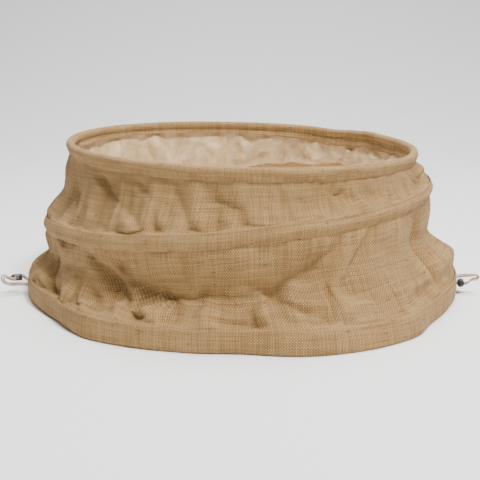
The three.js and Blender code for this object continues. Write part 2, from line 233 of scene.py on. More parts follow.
    @staticmethod
    def yarn_tone(tree: bpy.types.NodeTree, x: Socket, y: Socket, fine: float, coarse: float) -> Node:
        """A brightness that changes from yarn to yarn and slowly along each.

        Args:
            tree: The material's node tree.
            x: The place along the weft, in yarns.
            y: The place along the warp, in yarns.
            fine: How fast it changes along the weft.
            coarse: How fast it changes along the warp.

        Returns:
            The node whose value is the brightness.
        """
        narrow = add(tree, "Math", {"operation": "MULTIPLY"}, in0=x, in1=fine)
        long = add(tree, "Math", {"operation": "MULTIPLY"}, in0=y, in1=coarse)
        stretched = add(tree, "CombineXYZ", X=narrow, Y=long)
        return add(tree, "TexNoise", Vector=stretched, Scale=0.9, Detail=0.0)


@dataclass(frozen=True)
class FilmLining:
    """Thin film bonded to the cloth's inner face: pale, slightly glossy, with the weave showing through."""

    name: str = "laminated_film"
    film: str = "ead0a6"
    shade: str = "caa678"
    pitch: float = 2.0 * MM

    def material(self) -> bpy.types.Material:
        """Builds the material on the piece's own UV map, which is in metres.

        Returns:
            The material.
        """
        made, tree = blank_material(self.name)
        uv = add(tree, "UVMap")
        cloudy = add(tree, "TexNoise", Vector=uv, Scale=45.0, Detail=5.0, Roughness=0.65)
        tone = add(tree, "MapRange", Value=cloudy, From_Min=0.35, From_Max=0.68)
        colour = add(tree, "Mix", {"data_type": "RGBA"}, in0=tone, in6=srgb(self.shade), in7=srgb(self.film))
        yarns = add(tree, "VectorMath", {"operation": "SCALE"}, in0=uv, Scale=math.pi / self.pitch)
        axes = add(tree, "SeparateXYZ", in0=yarns)
        wave_x = add(tree, "Math", {"operation": "SINE"}, in0=axes.outputs["X"])
        wave_y = add(tree, "Math", {"operation": "SINE"}, in0=axes.outputs["Y"])
        ribs = add(tree, "Math", {"operation": "MULTIPLY"}, in0=wave_x, in1=wave_y)
        crinkle = add(tree, "TexNoise", Vector=uv, Scale=120.0, Detail=4.0)
        raised = add(tree, "Math", {"operation": "MULTIPLY_ADD"}, in0=ribs, in1=0.15, in2=crinkle)
        bump = add(tree, "Bump", Strength=0.6, Distance=0.8 * MM, Height=raised)
        shader = add(tree, "BsdfPrincipled", Base_Color=colour.outputs[2], Roughness=0.5, Normal=bump)
        shader.inputs["Specular IOR Level"].default_value = 0.4
        add(tree, "OutputMaterial", Surface=shader)
        return made


@dataclass(frozen=True)
class BraidedElastic:
    """Polyester braided over rubber: pale and fuzzy, with a fine crossing braid.

    The real braid repeats about every 0.8 mm, so it is drawn a little coarser.
    """

    name: str = "braided_elastic"
    light: str = "dcc8ad"
    dark: str = "a78d6d"
    # dark: painted shade for the grooves between the braid's strands.
    pitch: float = 1.2 * MM

    def material(self) -> bpy.types.Material:
        """Builds the material on a UV map that runs along and round the cord, in metres.

        Returns:
            The material.
        """
        made, tree = blank_material(self.name)
        uv = add(tree, "UVMap")
        turns = add(tree, "VectorMath", {"operation": "SCALE"}, in0=uv, Scale=2 * math.pi / self.pitch)
        axes = add(tree, "SeparateXYZ", in0=turns)
        x, y = axes.outputs["X"], axes.outputs["Y"]
        leaning_left = add(tree, "Math", {"operation": "ADD"}, in0=x, in1=y)
        leaning_right = add(tree, "Math", {"operation": "SUBTRACT"}, in0=x, in1=y)
        left = add(tree, "Math", {"operation": "SINE"}, in0=leaning_left)
        right = add(tree, "Math", {"operation": "SINE"}, in0=leaning_right)
        braid = add(tree, "Math", {"operation": "MAXIMUM"}, in0=left, in1=right)
        # Painted shade: where the braid is low, in its grooves, it takes the dark colour.
        tone = add(tree, "MapRange", Value=braid, From_Min=-0.6, From_Max=0.9)
        colour = add(tree, "Mix", {"data_type": "RGBA"}, in0=tone, in6=srgb(self.dark), in7=srgb(self.light))
        bump = add(tree, "Bump", Strength=0.7, Distance=0.25 * MM, Height=braid)
        shader = add(tree, "BsdfPrincipled", Base_Color=colour.outputs[2], Roughness=0.8, Normal=bump)
        shader.inputs["Sheen Weight"].default_value = 0.2
        add(tree, "OutputMaterial", Surface=shader)
        return made


@dataclass(frozen=True)
class PlainFinish:
    """A finish with a fine grain: moulded plastic, drawn wire or sewing thread."""

    name: str
    colour: str
    second: str
    roughness: float
    metallic: float = 0.0
    grain: float = 900.0
    relief: float = 0.05 * MM

    def material(self) -> bpy.types.Material:
        """Builds the material on object coordinates.

        Returns:
            The material.
        """
        made, tree = blank_material(self.name)
        place = add(tree, "TexCoord").outputs["Object"]
        grain = add(tree, "TexNoise", Vector=place, Scale=self.grain, Detail=3.0)
        one, other = srgb(self.colour), srgb(self.second)
        colour = add(tree, "Mix", {"data_type": "RGBA"}, in0=grain, in6=one, in7=other)
        bump = add(tree, "Bump", Strength=0.5, Distance=self.relief, Height=grain)
        shader = add(tree, "BsdfPrincipled", Base_Color=colour.outputs[2], Normal=bump)
        shader.inputs["Roughness"].default_value = self.roughness
        shader.inputs["Metallic"].default_value = self.metallic
        add(tree, "OutputMaterial", Surface=shader)
        return made


@dataclass
class Finishes:
    """Every material of the collar, built once."""

    jute: bpy.types.Material
    lining: bpy.types.Material
    elastic: bpy.types.Material
    plastic: bpy.types.Material
    steel: bpy.types.Material
    wire: bpy.types.Material
    thread: bpy.types.Material
    tape: bpy.types.Material

    @classmethod
    def build(cls) -> "Finishes":
        """Builds all the materials.

        Returns:
            The materials.
        """
        # Nylon, injection moulded: near black with a soft gloss.
        plastic = PlainFinish("moulded_nylon", "1b1b1d", "2a2a2c", 0.38, relief=0.03 * MM)
        # Music wire, drawn: bright, with a fine grey grain.
        steel = PlainFinish("drawn_spring_steel", "9a9b9e", "7d7e82", 0.3, metallic=1.0)
        # Steel wire dipped in PVC: dark and smooth.
        wire = PlainFinish("pvc_coated_wire", "38383a", "454547", 0.45)
        # Spun polyester sewing thread: matte, the cloth's own colour.
        thread = PlainFinish("spun_polyester_thread", "866338", "ac8654", 0.85, grain=2500.0)
        return cls(
            # Jute, spun and plain woven: the eye gets an uneven grid of straw-coloured yarns.
            jute=WovenJute().material(),
            # Film, laminated: the eye gets a pale, faintly shiny crinkle.
            lining=FilmLining().material(),
            # Elastic, braided: the eye gets a pale cord with a crossing pattern.
            elastic=BraidedElastic().material(),
            plastic=plastic.material(),
            steel=steel.material(),
            wire=wire.material(),
            thread=thread.material(),
            # Jute tape, woven: a little browner than the cloth it covers.
            tape=WovenJute(name="jute_seam_tape", yarn="946c3c", pale="b89260").material(),
        )


# ------------------------------------------------------------------------------------------------- frame


@dataclass(frozen=True)
class Hoop:
    """A ring in the frame: its centre, radius and the slope of its plane along X and Y."""

    centre: tuple[float, float, float]
    radius: float
    slope_x: float = 0.0
    slope_y: float = 0.0

    @classmethod
    def of_node(cls, node: bpy.types.Object) -> "Hoop":
        """Fits a ring to a CAD hoop's vertices.

        Args:
            node: The CAD hoop.

        Returns:
            The ring.
        """
        co = np.array([v.co for v in node.data.vertices])
        design = np.column_stack([np.ones(len(co)), co[:, 0], co[:, 1]])
        height, slope_x, slope_y = np.linalg.lstsq(design, co[:, 2], rcond=None)[0]
        low, high = co.min(0), co.max(0)
        middle = (low + high) / 2
        radius = float(np.hypot(co[:, 0] - middle[0], co[:, 1] - middle[1]).mean())
        centre = (float(middle[0]), float(middle[1]), float(height))
        return cls(centre, radius, float(slope_x), float(slope_y))

    def place(self, azimuth: np.ndarray, out: np.ndarray, up: np.ndarray) -> np.ndarray:
        """Points on the ring.

        Args:
            azimuth: Angles about Z, in radians from the front.
            out: Distance outwards from the ring.
            up: Distance above the ring's plane.

        Returns:
            An array of positions, one row each.
        """
        r = self.radius + out
        x, y = self.centre[0] + r * np.sin(azimuth), self.centre[1] - r * np.cos(azimuth)
        z = self.centre[2] + self.slope_x * x + self.slope_y * y + up
        return np.stack([x, y, z], axis=-1)


# -------------------------------------------------------------------------------------------- mesh tools


def link(mesh: bpy.types.Mesh, name: str, *materials: bpy.types.Material) -> bpy.types.Object:
    """Makes an object of a mesh and puts it in the scene.

    Args:
        mesh: The finished mesh, in the frame's coordinates.
        name: The piece's name.
        *materials: The piece's materials, by slot.

    Returns:
        The new object.
    """
    made = bpy.data.objects.new(name, mesh)
    for material in materials:
        mesh.materials.append(material)
    bpy.context.scene.collection.objects.link(made)
    log.info("made %s", name)
    return made


def mesh_of(bm: bmesh.types.BMesh, name: str, smooth: bool = True) -> bpy.types.Mesh:
    """Turns a bmesh into a mesh and frees it.

    Args:
        bm: The finished bmesh.
        name: The mesh's name.
        smooth: Whether its faces are shaded smooth.

    Returns:
        The mesh.
    """
    mesh = bpy.data.meshes.new(name)
    for face in bm.faces:
        face.smooth = smooth
    bm.to_mesh(mesh)
    bm.free()
    return mesh


def apply_modifiers(piece: bpy.types.Object) -> None:
    """Bakes a piece's modifiers into its mesh.

    Args:
        piece: The piece, which has none left afterwards.
    """
    graph = bpy.context.evaluated_depsgraph_get()
    final = bpy.data.meshes.new_from_object(piece.evaluated_get(graph))
    old = piece.data
    piece.modifiers.clear()
    piece.data = final
    bpy.data.meshes.remove(old)


def grid_bmesh(points: np.ndarray, uvs: np.ndarray) -> bmesh.types.BMesh:
    """A sheet whose rows and columns are given, as a bmesh.

    Args:
        points: Positions, rows by columns by 3.
        uvs: Where each point lies on the flat cloth, in metres, rows by columns by 2.

    Returns:
        The sheet. Its vertices are in order, row by row.
    """
    rows, columns = points.shape[:2]
    bm = bmesh.new()
    bmesh.ops.create_grid(bm, x_segments=columns - 1, y_segments=rows - 1, size=1)
    bm.verts.sort(key=lambda v: round(v.co.y, 5) * 1000 + v.co.x)
    layer = bm.loops.layers.uv.new("UVMap")
    flat = {}
    for vert, place, uv in zip(bm.verts, points.reshape(-1, 3), uvs.reshape(-1, 2)):
        vert.co = place
        flat[vert] = uv
    for face in bm.faces:
        for loop in face.loops:
            loop[layer].uv = flat[loop.vert]
    return bm


def spun_section(
    outline: Sequence[tuple[float, float]], start: float, end: float, steps: int
) -> bmesh.types.BMesh:
    """Turns a closed outline about Z into a ring or a stretch of one.

    Args:
        outline: Points as distance from the Z axis and height, round the section.
        start: Azimuth where the stretch starts, in radians.
        end: Azimuth where it ends. A full turn makes a closed ring.
        steps: Number of segments.

    Returns:
        The ring as a bmesh, open ends closed by a face.
    """
    bm = bmesh.new()
    full = abs(end - start) > 2 * math.pi - 1e-6
    turn = Matrix.Rotation(start, 3, "Z")
    verts = [bm.verts.new(turn @ Vector((0, -r, h))) for r, h in outline]
    face = bm.faces.new(verts)
    geom = list(face.edges) if full else [face]
    if full:
        bmesh.ops.delete(bm, geom=[face], context="FACES_ONLY")
        geom = list(bm.edges)
    axis = (0, 0, 1)
    bmesh.ops.spin(bm, geom=geom, cent=(0, 0, 0), axis=axis, angle=end - start, steps=steps, use_merge=full)
    bmesh.ops.remove_doubles(bm, verts=bm.verts, dist=1e-7)
    bmesh.ops.recalc_face_normals(bm, faces=bm.faces)
    return bm


def azimuth_of(points: np.ndarray) -> np.ndarray:
    """Azimuths of points, in radians."""
    return np.arctan2(points[..., 0], -points[..., 1])


def ring_curve(knots: dict[float, float], spread: float = 5.0) -> Curve:
    """A smooth value round the collar from a few azimuths.

    Args:
        knots: The value at each azimuth, in degrees. Between them it runs straight, and it closes on itself.
        spread: How far the corners are rounded to each side, in degrees.

    Returns:
        A function of azimuth in radians.
    """
    places = sorted(knots)
    turns = [p - 360 for p in places] + places + [p + 360 for p in places]
    values = [knots[p] for p in places] * 3
    offsets = np.linspace(-spread, spread, 9)
    weights = np.cos(offsets / spread * math.pi / 2) + 0.05

    def value(azimuth: np.ndarray) -> np.ndarray:
        degrees = (np.degrees(azimuth) + 180) % 360 - 180
        tries = np.stack([np.interp(degrees + o, turns, values) for o in offsets], axis=-1)
        return (tries * weights).sum(-1) / weights.sum()

    return value


def rough(points: np.ndarray, size: float, seed: float, octaves: int = 2) -> np.ndarray:
    """Smooth seeded noise at points, about -1 to 1.

    Args:
        points: Positions, in metres.
        size: The size of its lumps, in metres.
        seed: Moves the pattern.
        octaves: How many finer layers it has.

    Returns:
        One value for each point.
    """
    flat = points.reshape(-1, points.shape[-1]) / size
    shift = Vector((seed * 7.31, seed * 3.17, seed * 5.77))
    places = [Vector(p) + shift for p in flat.tolist()]
    made = [noise.fractal(p, 0.9, 2.1, octaves, noise_basis="PERLIN_ORIGINAL") for p in places]
    return np.array(made).reshape(points.shape[:-1])


def edge_fade(place: np.ndarray, width: float) -> np.ndarray:
    """Nothing along a sheet's first and last row, and 1 a given distance away from both.

    Args:
        place: The sheet's positions, rows by columns by 3.
        width: The distance over which it rises.

    Returns:
        One value for each point.
    """
    steps = np.linalg.norm(np.diff(place, axis=0), axis=-1)
    run = np.vstack([np.zeros_like(steps[:1]), np.cumsum(steps, axis=0)])
    share = np.clip(np.minimum(run, run[-1:] - run) / width, 0, 1)
    return share * share * (3 - 2 * share)


# ------------------------------------------------------------------------------------------------- cloth


class Side(Enum):
    """The two halves of the collar, by the azimuths of their side seams in degrees."""

    FRONT = (-SLIT_AZIMUTH, SLIT_AZIMUTH)
    BACK = (SLIT_AZIMUTH, 360 - SLIT_AZIMUTH)

    @property
    def label(self) -> str:
        """The half's name in lower case."""
        return self.name.lower()

    @property
    def span(self) -> tuple[float, float]:
        """The half's first and last azimuth, in radians."""
        return math.radians(self.value[0]), math.radians(self.value[1])


@dataclass(frozen=True)
class Fold:
    """A crease in the cloth.

    Its route is a list of azimuths in degrees and heights as shares of the tier. Depth is inwards, so a ridge
    is negative. The two widths are how far it fades above or left of the route, and below or right of it.
    """

    route: tuple[tuple[float, float], ...]
    depth: float
    above: float = 0.012
    below: float = 0.012

    def dent(self, across: np.ndarray, up: np.ndarray, radius: float, height: float) -> np.ndarray:
        """How far the fold pushes each point in.

        Args:
            across: Azimuths of the points, in radians.
            up: Heights of the points, as shares of the tier.
            radius: Turns an azimuth into metres.
            height: The tier's height in metres.

        Returns:
            Distances inwards, in metres.
        """
        u, v = across * radius, up * height
        best = np.full(u.shape, 1e9)
        side = np.zeros(u.shape)
        knots = [(math.radians(a) * radius, t * height) for a, t in self.route]
        for (u0, v0), (u1, v1) in zip(knots[:-1], knots[1:]):
            du, dv = u1 - u0, v1 - v0
            share = np.clip(((u - u0) * du + (v - v0) * dv) / (du * du + dv * dv), 0, 1)
            distance = np.hypot(u - u0 - share * du, v - v0 - share * dv)
            nearer = distance < best
            best = np.where(nearer, distance, best)
            side = np.where(nearer, np.sign(du * (v - v0) - dv * (u - u0)), side)
        width = np.where(side > 0, self.above, self.below)
        rounding = 0.0012
        return self.depth * np.exp(-(np.sqrt(best**2 + rounding**2) - rounding) / width)


UPPER_FOLDS = (
    Fold(((-47, 0.9), (-41, 0.66), (-34.5, 0.44)), 0.009, 0.016, 0.007),
    Fold(((-35.5, 0.3), (-35, 0.0)), 0.004, 0.006, 0.006),
    Fold(((-29, 0.76), (-24, 0.56), (-23.8, 0.22), (-22, 0.0)), 0.006, 0.012, 0.005),
    Fold(((-18, 0.7), (-14, 0.22), (-13, 0.0)), 0.005, 0.012, 0.006),
    Fold(((-7, 0.62), (0, 0.42), (1, 0.14)), 0.005, 0.009, 0.012),
    Fold(((-10, 0.0), (-4, 0.12)), 0.004, 0.008, 0.006),
    Fold(((11, 0.53), (13, 0.1)), 0.003, 0.008, 0.008),
    Fold(((15, 0.55), (29, 0.6)), 0.003, 0.01, 0.012),
    Fold(((26, 0.68), (28, 0.56), (31, 0.7)), 0.003, 0.006, 0.006),
    Fold(((-60, 0.8), (-56, 0.3)), 0.004, 0.014, 0.014),
    Fold(((-44, 0.86), (-33, 0.38)), -0.005, 0.006, 0.016),
    Fold(((-26, 0.7), (-21, 0.3)), -0.003, 0.006, 0.01),
)
LOWER_FOLDS = (
    Fold(((-43, 0.88), (-37, 0.7), (-33.5, 0.53)), 0.008, 0.014, 0.008),
    Fold(((-33, 0.54), (-34, 0.24)), 0.004, 0.008, 0.006),
    Fold(((-33, 0.84), (-25, 0.62), (-18, 0.38)), 0.013, 0.014, 0.009),
    Fold(((-18, 0.34), (-16.8, 0.1), (-18.5, -0.2)), 0.006, 0.008, 0.007),
    Fold(((-16, 0.18), (-10, 0.38)), 0.007, 0.008, 0.007),
    Fold(((-17, 0.38), (-8, 0.4), (0, 0.39), (8, 0.38)), 0.014, 0.026, 0.009),
    Fold(((8, 0.4), (8, 0.2)), 0.008, 0.008, 0.006),
    Fold(((8, 0.37), (14.5, 0.2)), 0.008, 0.01, 0.006),
    Fold(((10, 0.6), (18, 0.74), (27, 0.9)), 0.01, 0.008, 0.018),
    Fold(((22, 0.54), (21, 0.32), (19, 0.12)), 0.006, 0.006, 0.01),
    Fold(((30, 0.62), (36, 0.9)), 0.005, 0.009, 0.014),
    Fold(((25, 0.48), (28, 0.47)), 0.004, 0.006, 0.006),
    Fold(((2, 0.24), (3.6, -0.2)), 0.003, 0.007, 0.007),
    Fold(((11, 0.1), (10, -0.2)), 0.003, 0.007, 0.007),
    Fold(((-64, 0.95), (-63, 0.5), (-58, 0.1)), 0.008, 0.01, 0.014),
    Fold(((-55, 0.3), (-53, -0.1)), 0.005, 0.008, 0.01),
    Fold(((58, 0.95), (59.5, 0.6), (60, 0.2)), 0.007, 0.012, 0.009),
    Fold(((-28, 0.42), (-19, 0.22)), -0.004, 0.008, 0.01),
    Fold(((-30, 0.3), (-30, 0.05)), -0.003, 0.008, 0.01),
)


@dataclass
class Tier:
    """The cloth between two rings: a front and a back panel, their lining and the tapes over their seams.

    Attributes:
        name: The start of its pieces' names.
        low: Where the cloth's lower edge is sewn, by azimuth in radians.
        high: Where its upper edge is sewn.
        radius: Turns azimuths into lengths of flat cloth.
        height: The flat cloth's height.
        folds: The front's creases.
        profile: How far the cloth stands out before it is creased.
        seed: Sets the noise and the back's creases.
        below: The body of the ring below.
        above: The body of the ring above.
        rests_on: The pieces that the cloth lies on.
        rows: Rows of vertices, before the subdivision.
        step: Degrees between columns of vertices.
        thickness: The cloth's thickness.
        film: The film's thickness.
        gain: How many times deeper than given the creases are pressed.
        crush: The depth of the sharp ridges between flat faces.
        low_fade: How far from its lower edge the cloth is fully free to move.
        top_fade: The same for its upper edge.
        clear: The folds stay at least this far from the Z axis.
        frames: Steps of the cloth simulation.
        film_gap: The least gap between the cloth and the film.
        film_edge: How far from its sewn edges the film can be fully loose.
        tape_thickness: The seam tapes' thickness.
        tape_depth: How far inside the cloth's middle the tapes lie.
        tape_reach: Columns of a tape to each side of its seam.
        surfaces: Each half's middle surface, once it has settled.
    """

    name: str
    low: Curve
    high: Curve
    radius: float
    height: float
    folds: tuple[Fold, ...]
    profile: Callable[[np.ndarray, np.ndarray], np.ndarray]
    seed: int
    below: str
    above: str
    rests_on: tuple[str, ...]
    rows: int = 30
    step: float = 1.2
    thickness: float = 1.0 * MM
    film: float = 0.3 * MM
    gain: float = 1.8
    crush: float = 9 * MM
    low_fade: float = 8 * MM
    top_fade: float = 14 * MM
    clear: float = 0.0
    frames: int = 25
    film_gap: float = 0.6 * MM
    film_edge: float = 22 * MM
    tape_thickness: float = 1.0 * MM
    tape_depth: float = 4.2 * MM
    tape_reach: int = 2
    surfaces: dict[Side, np.ndarray] = field(default_factory=dict)

    def back_folds(self) -> list[Fold]:
        """Seeded creases for the back, of the same kinds as the front's.

        Returns:
            The creases: slanting ones all round, then four that lie level.
        """
        draw = np.random.default_rng(self.seed)
        made = []
        for azimuth in np.arange(88, 272, 11.5):
            a = float(azimuth + draw.uniform(-4, 4))
            top, drop = float(draw.uniform(0.55, 0.95)), float(draw.uniform(0.3, 0.6))
            lean = float(draw.uniform(-11, 11))
            depth = float(draw.uniform(0.003, 0.01))
            wide, narrow = float(draw.uniform(0.01, 0.018)), float(draw.uniform(0.006, 0.009))
            made.append(Fold(((a, top), (a + lean, top - drop)), depth, wide, narrow))
        for azimuth in (108, 152, 203, 247):
            a, t = float(azimuth + draw.uniform(-6, 6)), float(draw.uniform(0.3, 0.5))
            made.append(Fold(((a - 9, t), (a + 8, t + float(draw.uniform(-0.1, 0.1)))), 0.009, 0.02, 0.012))
        return made

    def draped(self, side: Side) -> np.ndarray:
        """The panel before it is simulated: straight between its rings, then pushed in at each crease.

        Args:
            side: Which half.

        Returns:
            Positions, rows from the bottom up by columns by 3.
        """
        start, end = side.span
        columns = round(math.degrees(end - start) / self.step) + 1
        azimuth = np.linspace(start, end, columns)[None, :].repeat(self.rows, 0)
        up = np.linspace(0, 1, self.rows)[:, None].repeat(columns, 1)
        low, high = self.low(azimuth), self.high(azimuth)
        place = low + (high - low) * up[..., None]
        folds = self.folds if side is Side.FRONT else self.back_folds()
        dent = sum(fold.dent(azimuth, up, self.radius, self.height) for fold in folds)
        # Soft crumples of two sizes.
        flat = np.stack([azimuth * self.radius, up * self.height, np.full_like(up, self.seed)], axis=-1)
        crumple = 0.003 * rough(flat, 0.045, self.seed) + 0.0035 * rough(flat, 0.13, self.seed + 3)
        # Laminated cloth breaks into flat faces between sharp ridges.
        ridges = np.abs(rough(flat * (1.0, 0.6, 1.0), 0.06, self.seed + 9))
        sharp = self.crush * (0.25 - ridges)
        # Nothing moves along the sewn edges, and the side seams sink in a little.
        seam = np.minimum(azimuth - start, end - azimuth) * self.radius
        free = np.clip(np.minimum(up / self.low_fade, (1 - up) / self.top_fade) * self.height, 0, 1)
        free = free * free * (3 - 2 * free)
        room = np.hypot(place[..., 0], place[..., 1]) - self.clear
        out = np.maximum(self.profile(azimuth, up) + crumple + sharp - dent * self.gain, -room) * free
        out -= 0.0012 * np.exp(-((seam / 0.003) ** 2))
        outward = np.stack([np.sin(azimuth), -np.cos(azimuth), np.full_like(azimuth, 0.25)], axis=-1)
        return place + outward * out[..., None]

    def simulate(self, place: np.ndarray, name: str) -> np.ndarray:
        """Lets the cloth settle between its four sewn edges, with a little more cloth than the span needs.

        Args:
            place: The panel's positions.
            name: A name for the scratch mesh.

        Returns:
            The settled positions.
        """
        rows, columns = place.shape[:2]
        mesh = mesh_of(grid_bmesh(place, place[..., :2]), name)
        scratch = link(mesh, name)
        order = np.arange(rows * columns).reshape(rows, columns)
        sewn = np.concatenate([order[0], order[-1], order[:, 0], order[:, -1]])
        held = scratch.vertex_groups.new(name="sewn")
        held.add(np.unique(sewn).tolist(), 1.0, "REPLACE")
        cloth = scratch.modifiers.new("Cloth", "CLOTH").settings
        cloth.quality = 7
        cloth.mass = 0.4
        cloth.tension_stiffness = cloth.compression_stiffness = 60
        cloth.shear_stiffness = 40
        cloth.bending_stiffness = 6
        cloth.air_damping = 3
        cloth.vertex_group_mass = "sewn"
        # There is 2.5% more cloth than the draped surface has.
        cloth.shrink_min = -0.025
        scene = bpy.context.scene
        for number in range(1, self.frames + 1):
            scene.frame_set(number)
        settled = scratch.evaluated_get(bpy.context.evaluated_depsgraph_get())
        made = np.array([v.co for v in settled.data.vertices]).reshape(place.shape)
        bpy.data.objects.remove(scratch)
        bpy.data.meshes.remove(mesh)
        scene.frame_set(1)
        return made

    def settle(self) -> None:
        """Works out both panels' surfaces."""
        for side in Side:
            place = self.draped(side)
            place = self.simulate(place, f"{self.name}_{side.label}_scratch")
            self.surfaces[side] = place

    def outward(self, place: np.ndarray) -> np.ndarray:
        """Unit normals of a surface, pointing out of the collar.

        Args:
            place: Positions, rows by columns by 3.

        Returns:
            One normal for each point.
        """
        across = np.gradient(place, axis=1)
        up = np.gradient(place, axis=0)
        normal = np.cross(across, up)
        return normal / np.linalg.norm(normal, axis=-1, keepdims=True)

    def uvs(self, side: Side, rows: int, columns: int) -> np.ndarray:
        """Where each point lies on the flat cloth, in metres.

        Args:
            side: Which half.
            rows: How many rows the sheet has.
            columns: How many columns it has.

        Returns:
            Places on the flat cloth, rows by columns by 2.
        """
        start, end = side.span
        u = np.linspace(start, end, columns)[None, :].repeat(rows, 0) * self.radius
        v = np.linspace(0, self.height, rows)[:, None].repeat(columns, 1)
        return np.stack([u, v], axis=-1)

    def sheet(
        self, name: str, place: np.ndarray, side: Side, thickness: float, material: bpy.types.Material
    ) -> bpy.types.Object:
        """Makes a sheet of cloth from a surface, with its thickness inwards.

        Args:
            name: The piece's name.
            place: Positions of its outer face.
            side: Which half it is on.
            thickness: Its thickness.
            material: Its finish.

        Returns:
            The finished piece.
        """
        rows, columns = place.shape[:2]
        piece = link(mesh_of(grid_bmesh(place, self.uvs(side, rows, columns)), name), name, material)
        fine = piece.modifiers.new("Fine", "SUBSURF")
        fine.levels = fine.render_levels = 1
        solid = piece.modifiers.new("Thickness", "SOLIDIFY")
        solid.thickness = thickness
        solid.offset = -1
        apply_modifiers(piece)
        return piece

    def blisters(self, place: np.ndarray) -> np.ndarray:
        """How far the film has come loose from the cloth: in small blisters and along thin ridges.

        Args:
            place: The panel's positions.

        Returns:
            Distances inwards, in metres.
        """
        loose = 0.0035 * np.clip(rough(place, 0.034, self.seed + 21, 3) + 0.2, 0, 1)
        loose += 0.003 * np.clip(1 - 5 * np.abs(rough(place, 0.06, self.seed + 27)), 0, 1)
        return self.film_gap + loose * edge_fade(place, self.film_edge)

    def build(self, finishes: Finishes) -> list[bpy.types.Object]:
        """Builds the panels, their linings and the tapes over their seams.

        Args:
            finishes: The materials.

        Returns:
            The tier's pieces.
        """
        self.settle()
        made = []
        for side in Side:
            half = f"{self.name}_{side.label}"
            place = self.surfaces[side]
            normal = self.outward(place)
            outer = place + normal * self.thickness / 2
            panel = self.sheet(f"{half}_cloth", outer, side, self.thickness, finishes.jute)
            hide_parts(f"{half}_panel")
            inner = place - normal * (self.thickness / 2 + self.blisters(place)[..., None])
            lining = self.sheet(f"{half}_film", inner, side, self.film, finishes.lining)
            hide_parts(f"{half}_lining")
            for piece in (panel, lining):
                made.append(piece)
        for side_name, azimuth in SLITS.items():
            made.append(self.tape(side_name, azimuth, finishes))
        return made

    def hang(self, pieces: Iterable[bpy.types.Object]) -> None:
        """Bakes each piece's placement into its mesh.

        Args:
            pieces: The tier's pieces.
        """
        around = np.linspace(0, 2 * np.pi, 73)
        low, high = self.low(around), self.high(around)
        for piece in pieces:
            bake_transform(piece)

    def tape(self, side_name: str, azimuth: float, finishes: Finishes) -> bpy.types.Object:
        """The tape over a side seam, inside.

        Args:
            side_name: left or right.
            azimuth: The seam's azimuth, in degrees.
            finishes: The materials.

        Returns:
            The tape.
        """
        # More columns than the tape has, so that the normals are smooth across the seam.
        margin = 7
        front, back = self.surfaces[Side.FRONT], self.surfaces[Side.BACK]
        if azimuth > 0:
            place = np.concatenate([front[:, -margin:], back[:, 1:margin]], axis=1)
        else:
            place = np.concatenate([back[:, -margin:], front[:, 1:margin]], axis=1)
        normal = self.outward(place)
        middle = place.shape[1] // 2
        strip = slice(middle - self.tape_reach, middle + self.tape_reach + 1)
        inner = (place - normal * self.tape_depth)[:, strip]
        name = f"{self.name}_{side_name}_tape"
        piece = self.sheet(name, inner, Side.FRONT, self.tape_thickness, finishes.tape)
        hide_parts(f"{self.name}_{side_name}_seam_tape")
        return piece


# --------------------------------------------------------------------------------------- casings and hem


@dataclass
class Strip:
    """A strip of cloth folded to a section and run round the collar.

    Attributes:
        name: The piece's name.
        outline: The section's points, as millimetres outwards from the ring and above it.
        warp: Bends the ring to its place, from azimuths, distances outwards and heights.
        radius: The ring's radius.
        pitch: Degrees between sections.
        cloth_radius: Turns azimuths into lengths of flat cloth. It is one for all strips, so that the weave
            is alike on them.
    """

    name: str
    outline: tuple[tuple[float, float], ...]
    warp: Callable[[np.ndarray, np.ndarray, np.ndarray], np.ndarray]
    radius: float
    pitch: float = 1.2
    cloth_radius: float = 0.3

    def build(
        self,
        start: float,
        end: float,
        material: bpy.types.Material,
        replaces: Iterable[str],
        slot: str = "jute",
    ) -> bpy.types.Object:
        """Spins the section, bends it to its ring and gives it a UV map.

        Args:
            start: First azimuth, in degrees.
            end: Last azimuth, in degrees.
            material: The strip's finish.
            replaces: The CAD nodes it stands for.
            slot: A name for the slot of its finish. Not used.

        Returns:
            The finished strip.
        """
        outline = [(self.radius + x * MM, h * MM) for x, h in self.outline]
        steps = round((end - start) / self.pitch)
        bm = spun_section(outline, math.radians(start), math.radians(end), steps)
        co = np.array([v.co for v in bm.verts])
        out, up = np.hypot(co[:, 0], co[:, 1]) - self.radius, co[:, 2]
        azimuth = azimuth_of(co)
        self.unwrap(bm, azimuth, out, up)
        for vert, place in zip(bm.verts, self.warp(azimuth, out, up)):
            vert.co = place
        piece = link(mesh_of(bm, self.name), self.name, material)
        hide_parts(*replaces)
        return piece

    def unwrap(self, bm: bmesh.types.BMesh, azimuth: np.ndarray, out: np.ndarray, up: np.ndarray) -> None:
        """Gives the strip a UV map in metres, along it and round its section.

        Args:
            bm: The strip, spun but not yet bent.
            azimuth: Azimuths of its vertices, in radians.
            out: Their distances outwards from the ring.
            up: Their heights above the ring.
        """
        around = np.array(self.outline) * MM
        sides = np.diff(np.vstack([around, around[:1]]), axis=0)
        girths = np.concatenate([[0], np.cumsum(np.hypot(*sides.T))])
        off_out, off_up = out[:, None] - around[None, :, 0], up[:, None] - around[None, :, 1]
        nearest = np.argmin(np.hypot(off_out, off_up), axis=1)
        last = len(around)
        layer = bm.loops.layers.uv.new("UVMap")
        bm.verts.index_update()
        for face in bm.faces:
            corners = [loop.vert.index for loop in face.loops]
            turns = azimuth[corners]
            sections = nearest[corners]
            wraps = sections.max() == last - 1 and sections.min() == 0
            for loop, turn, section in zip(face.loops, turns, sections):
                # A face that crosses the start keeps its corners together.
                if turns.max() - turn > math.pi:
                    turn += 2 * math.pi
                girth = girths[last] if wraps and section == 0 else girths[section]
                loop[layer].uv = (turn * self.cloth_radius, girth)


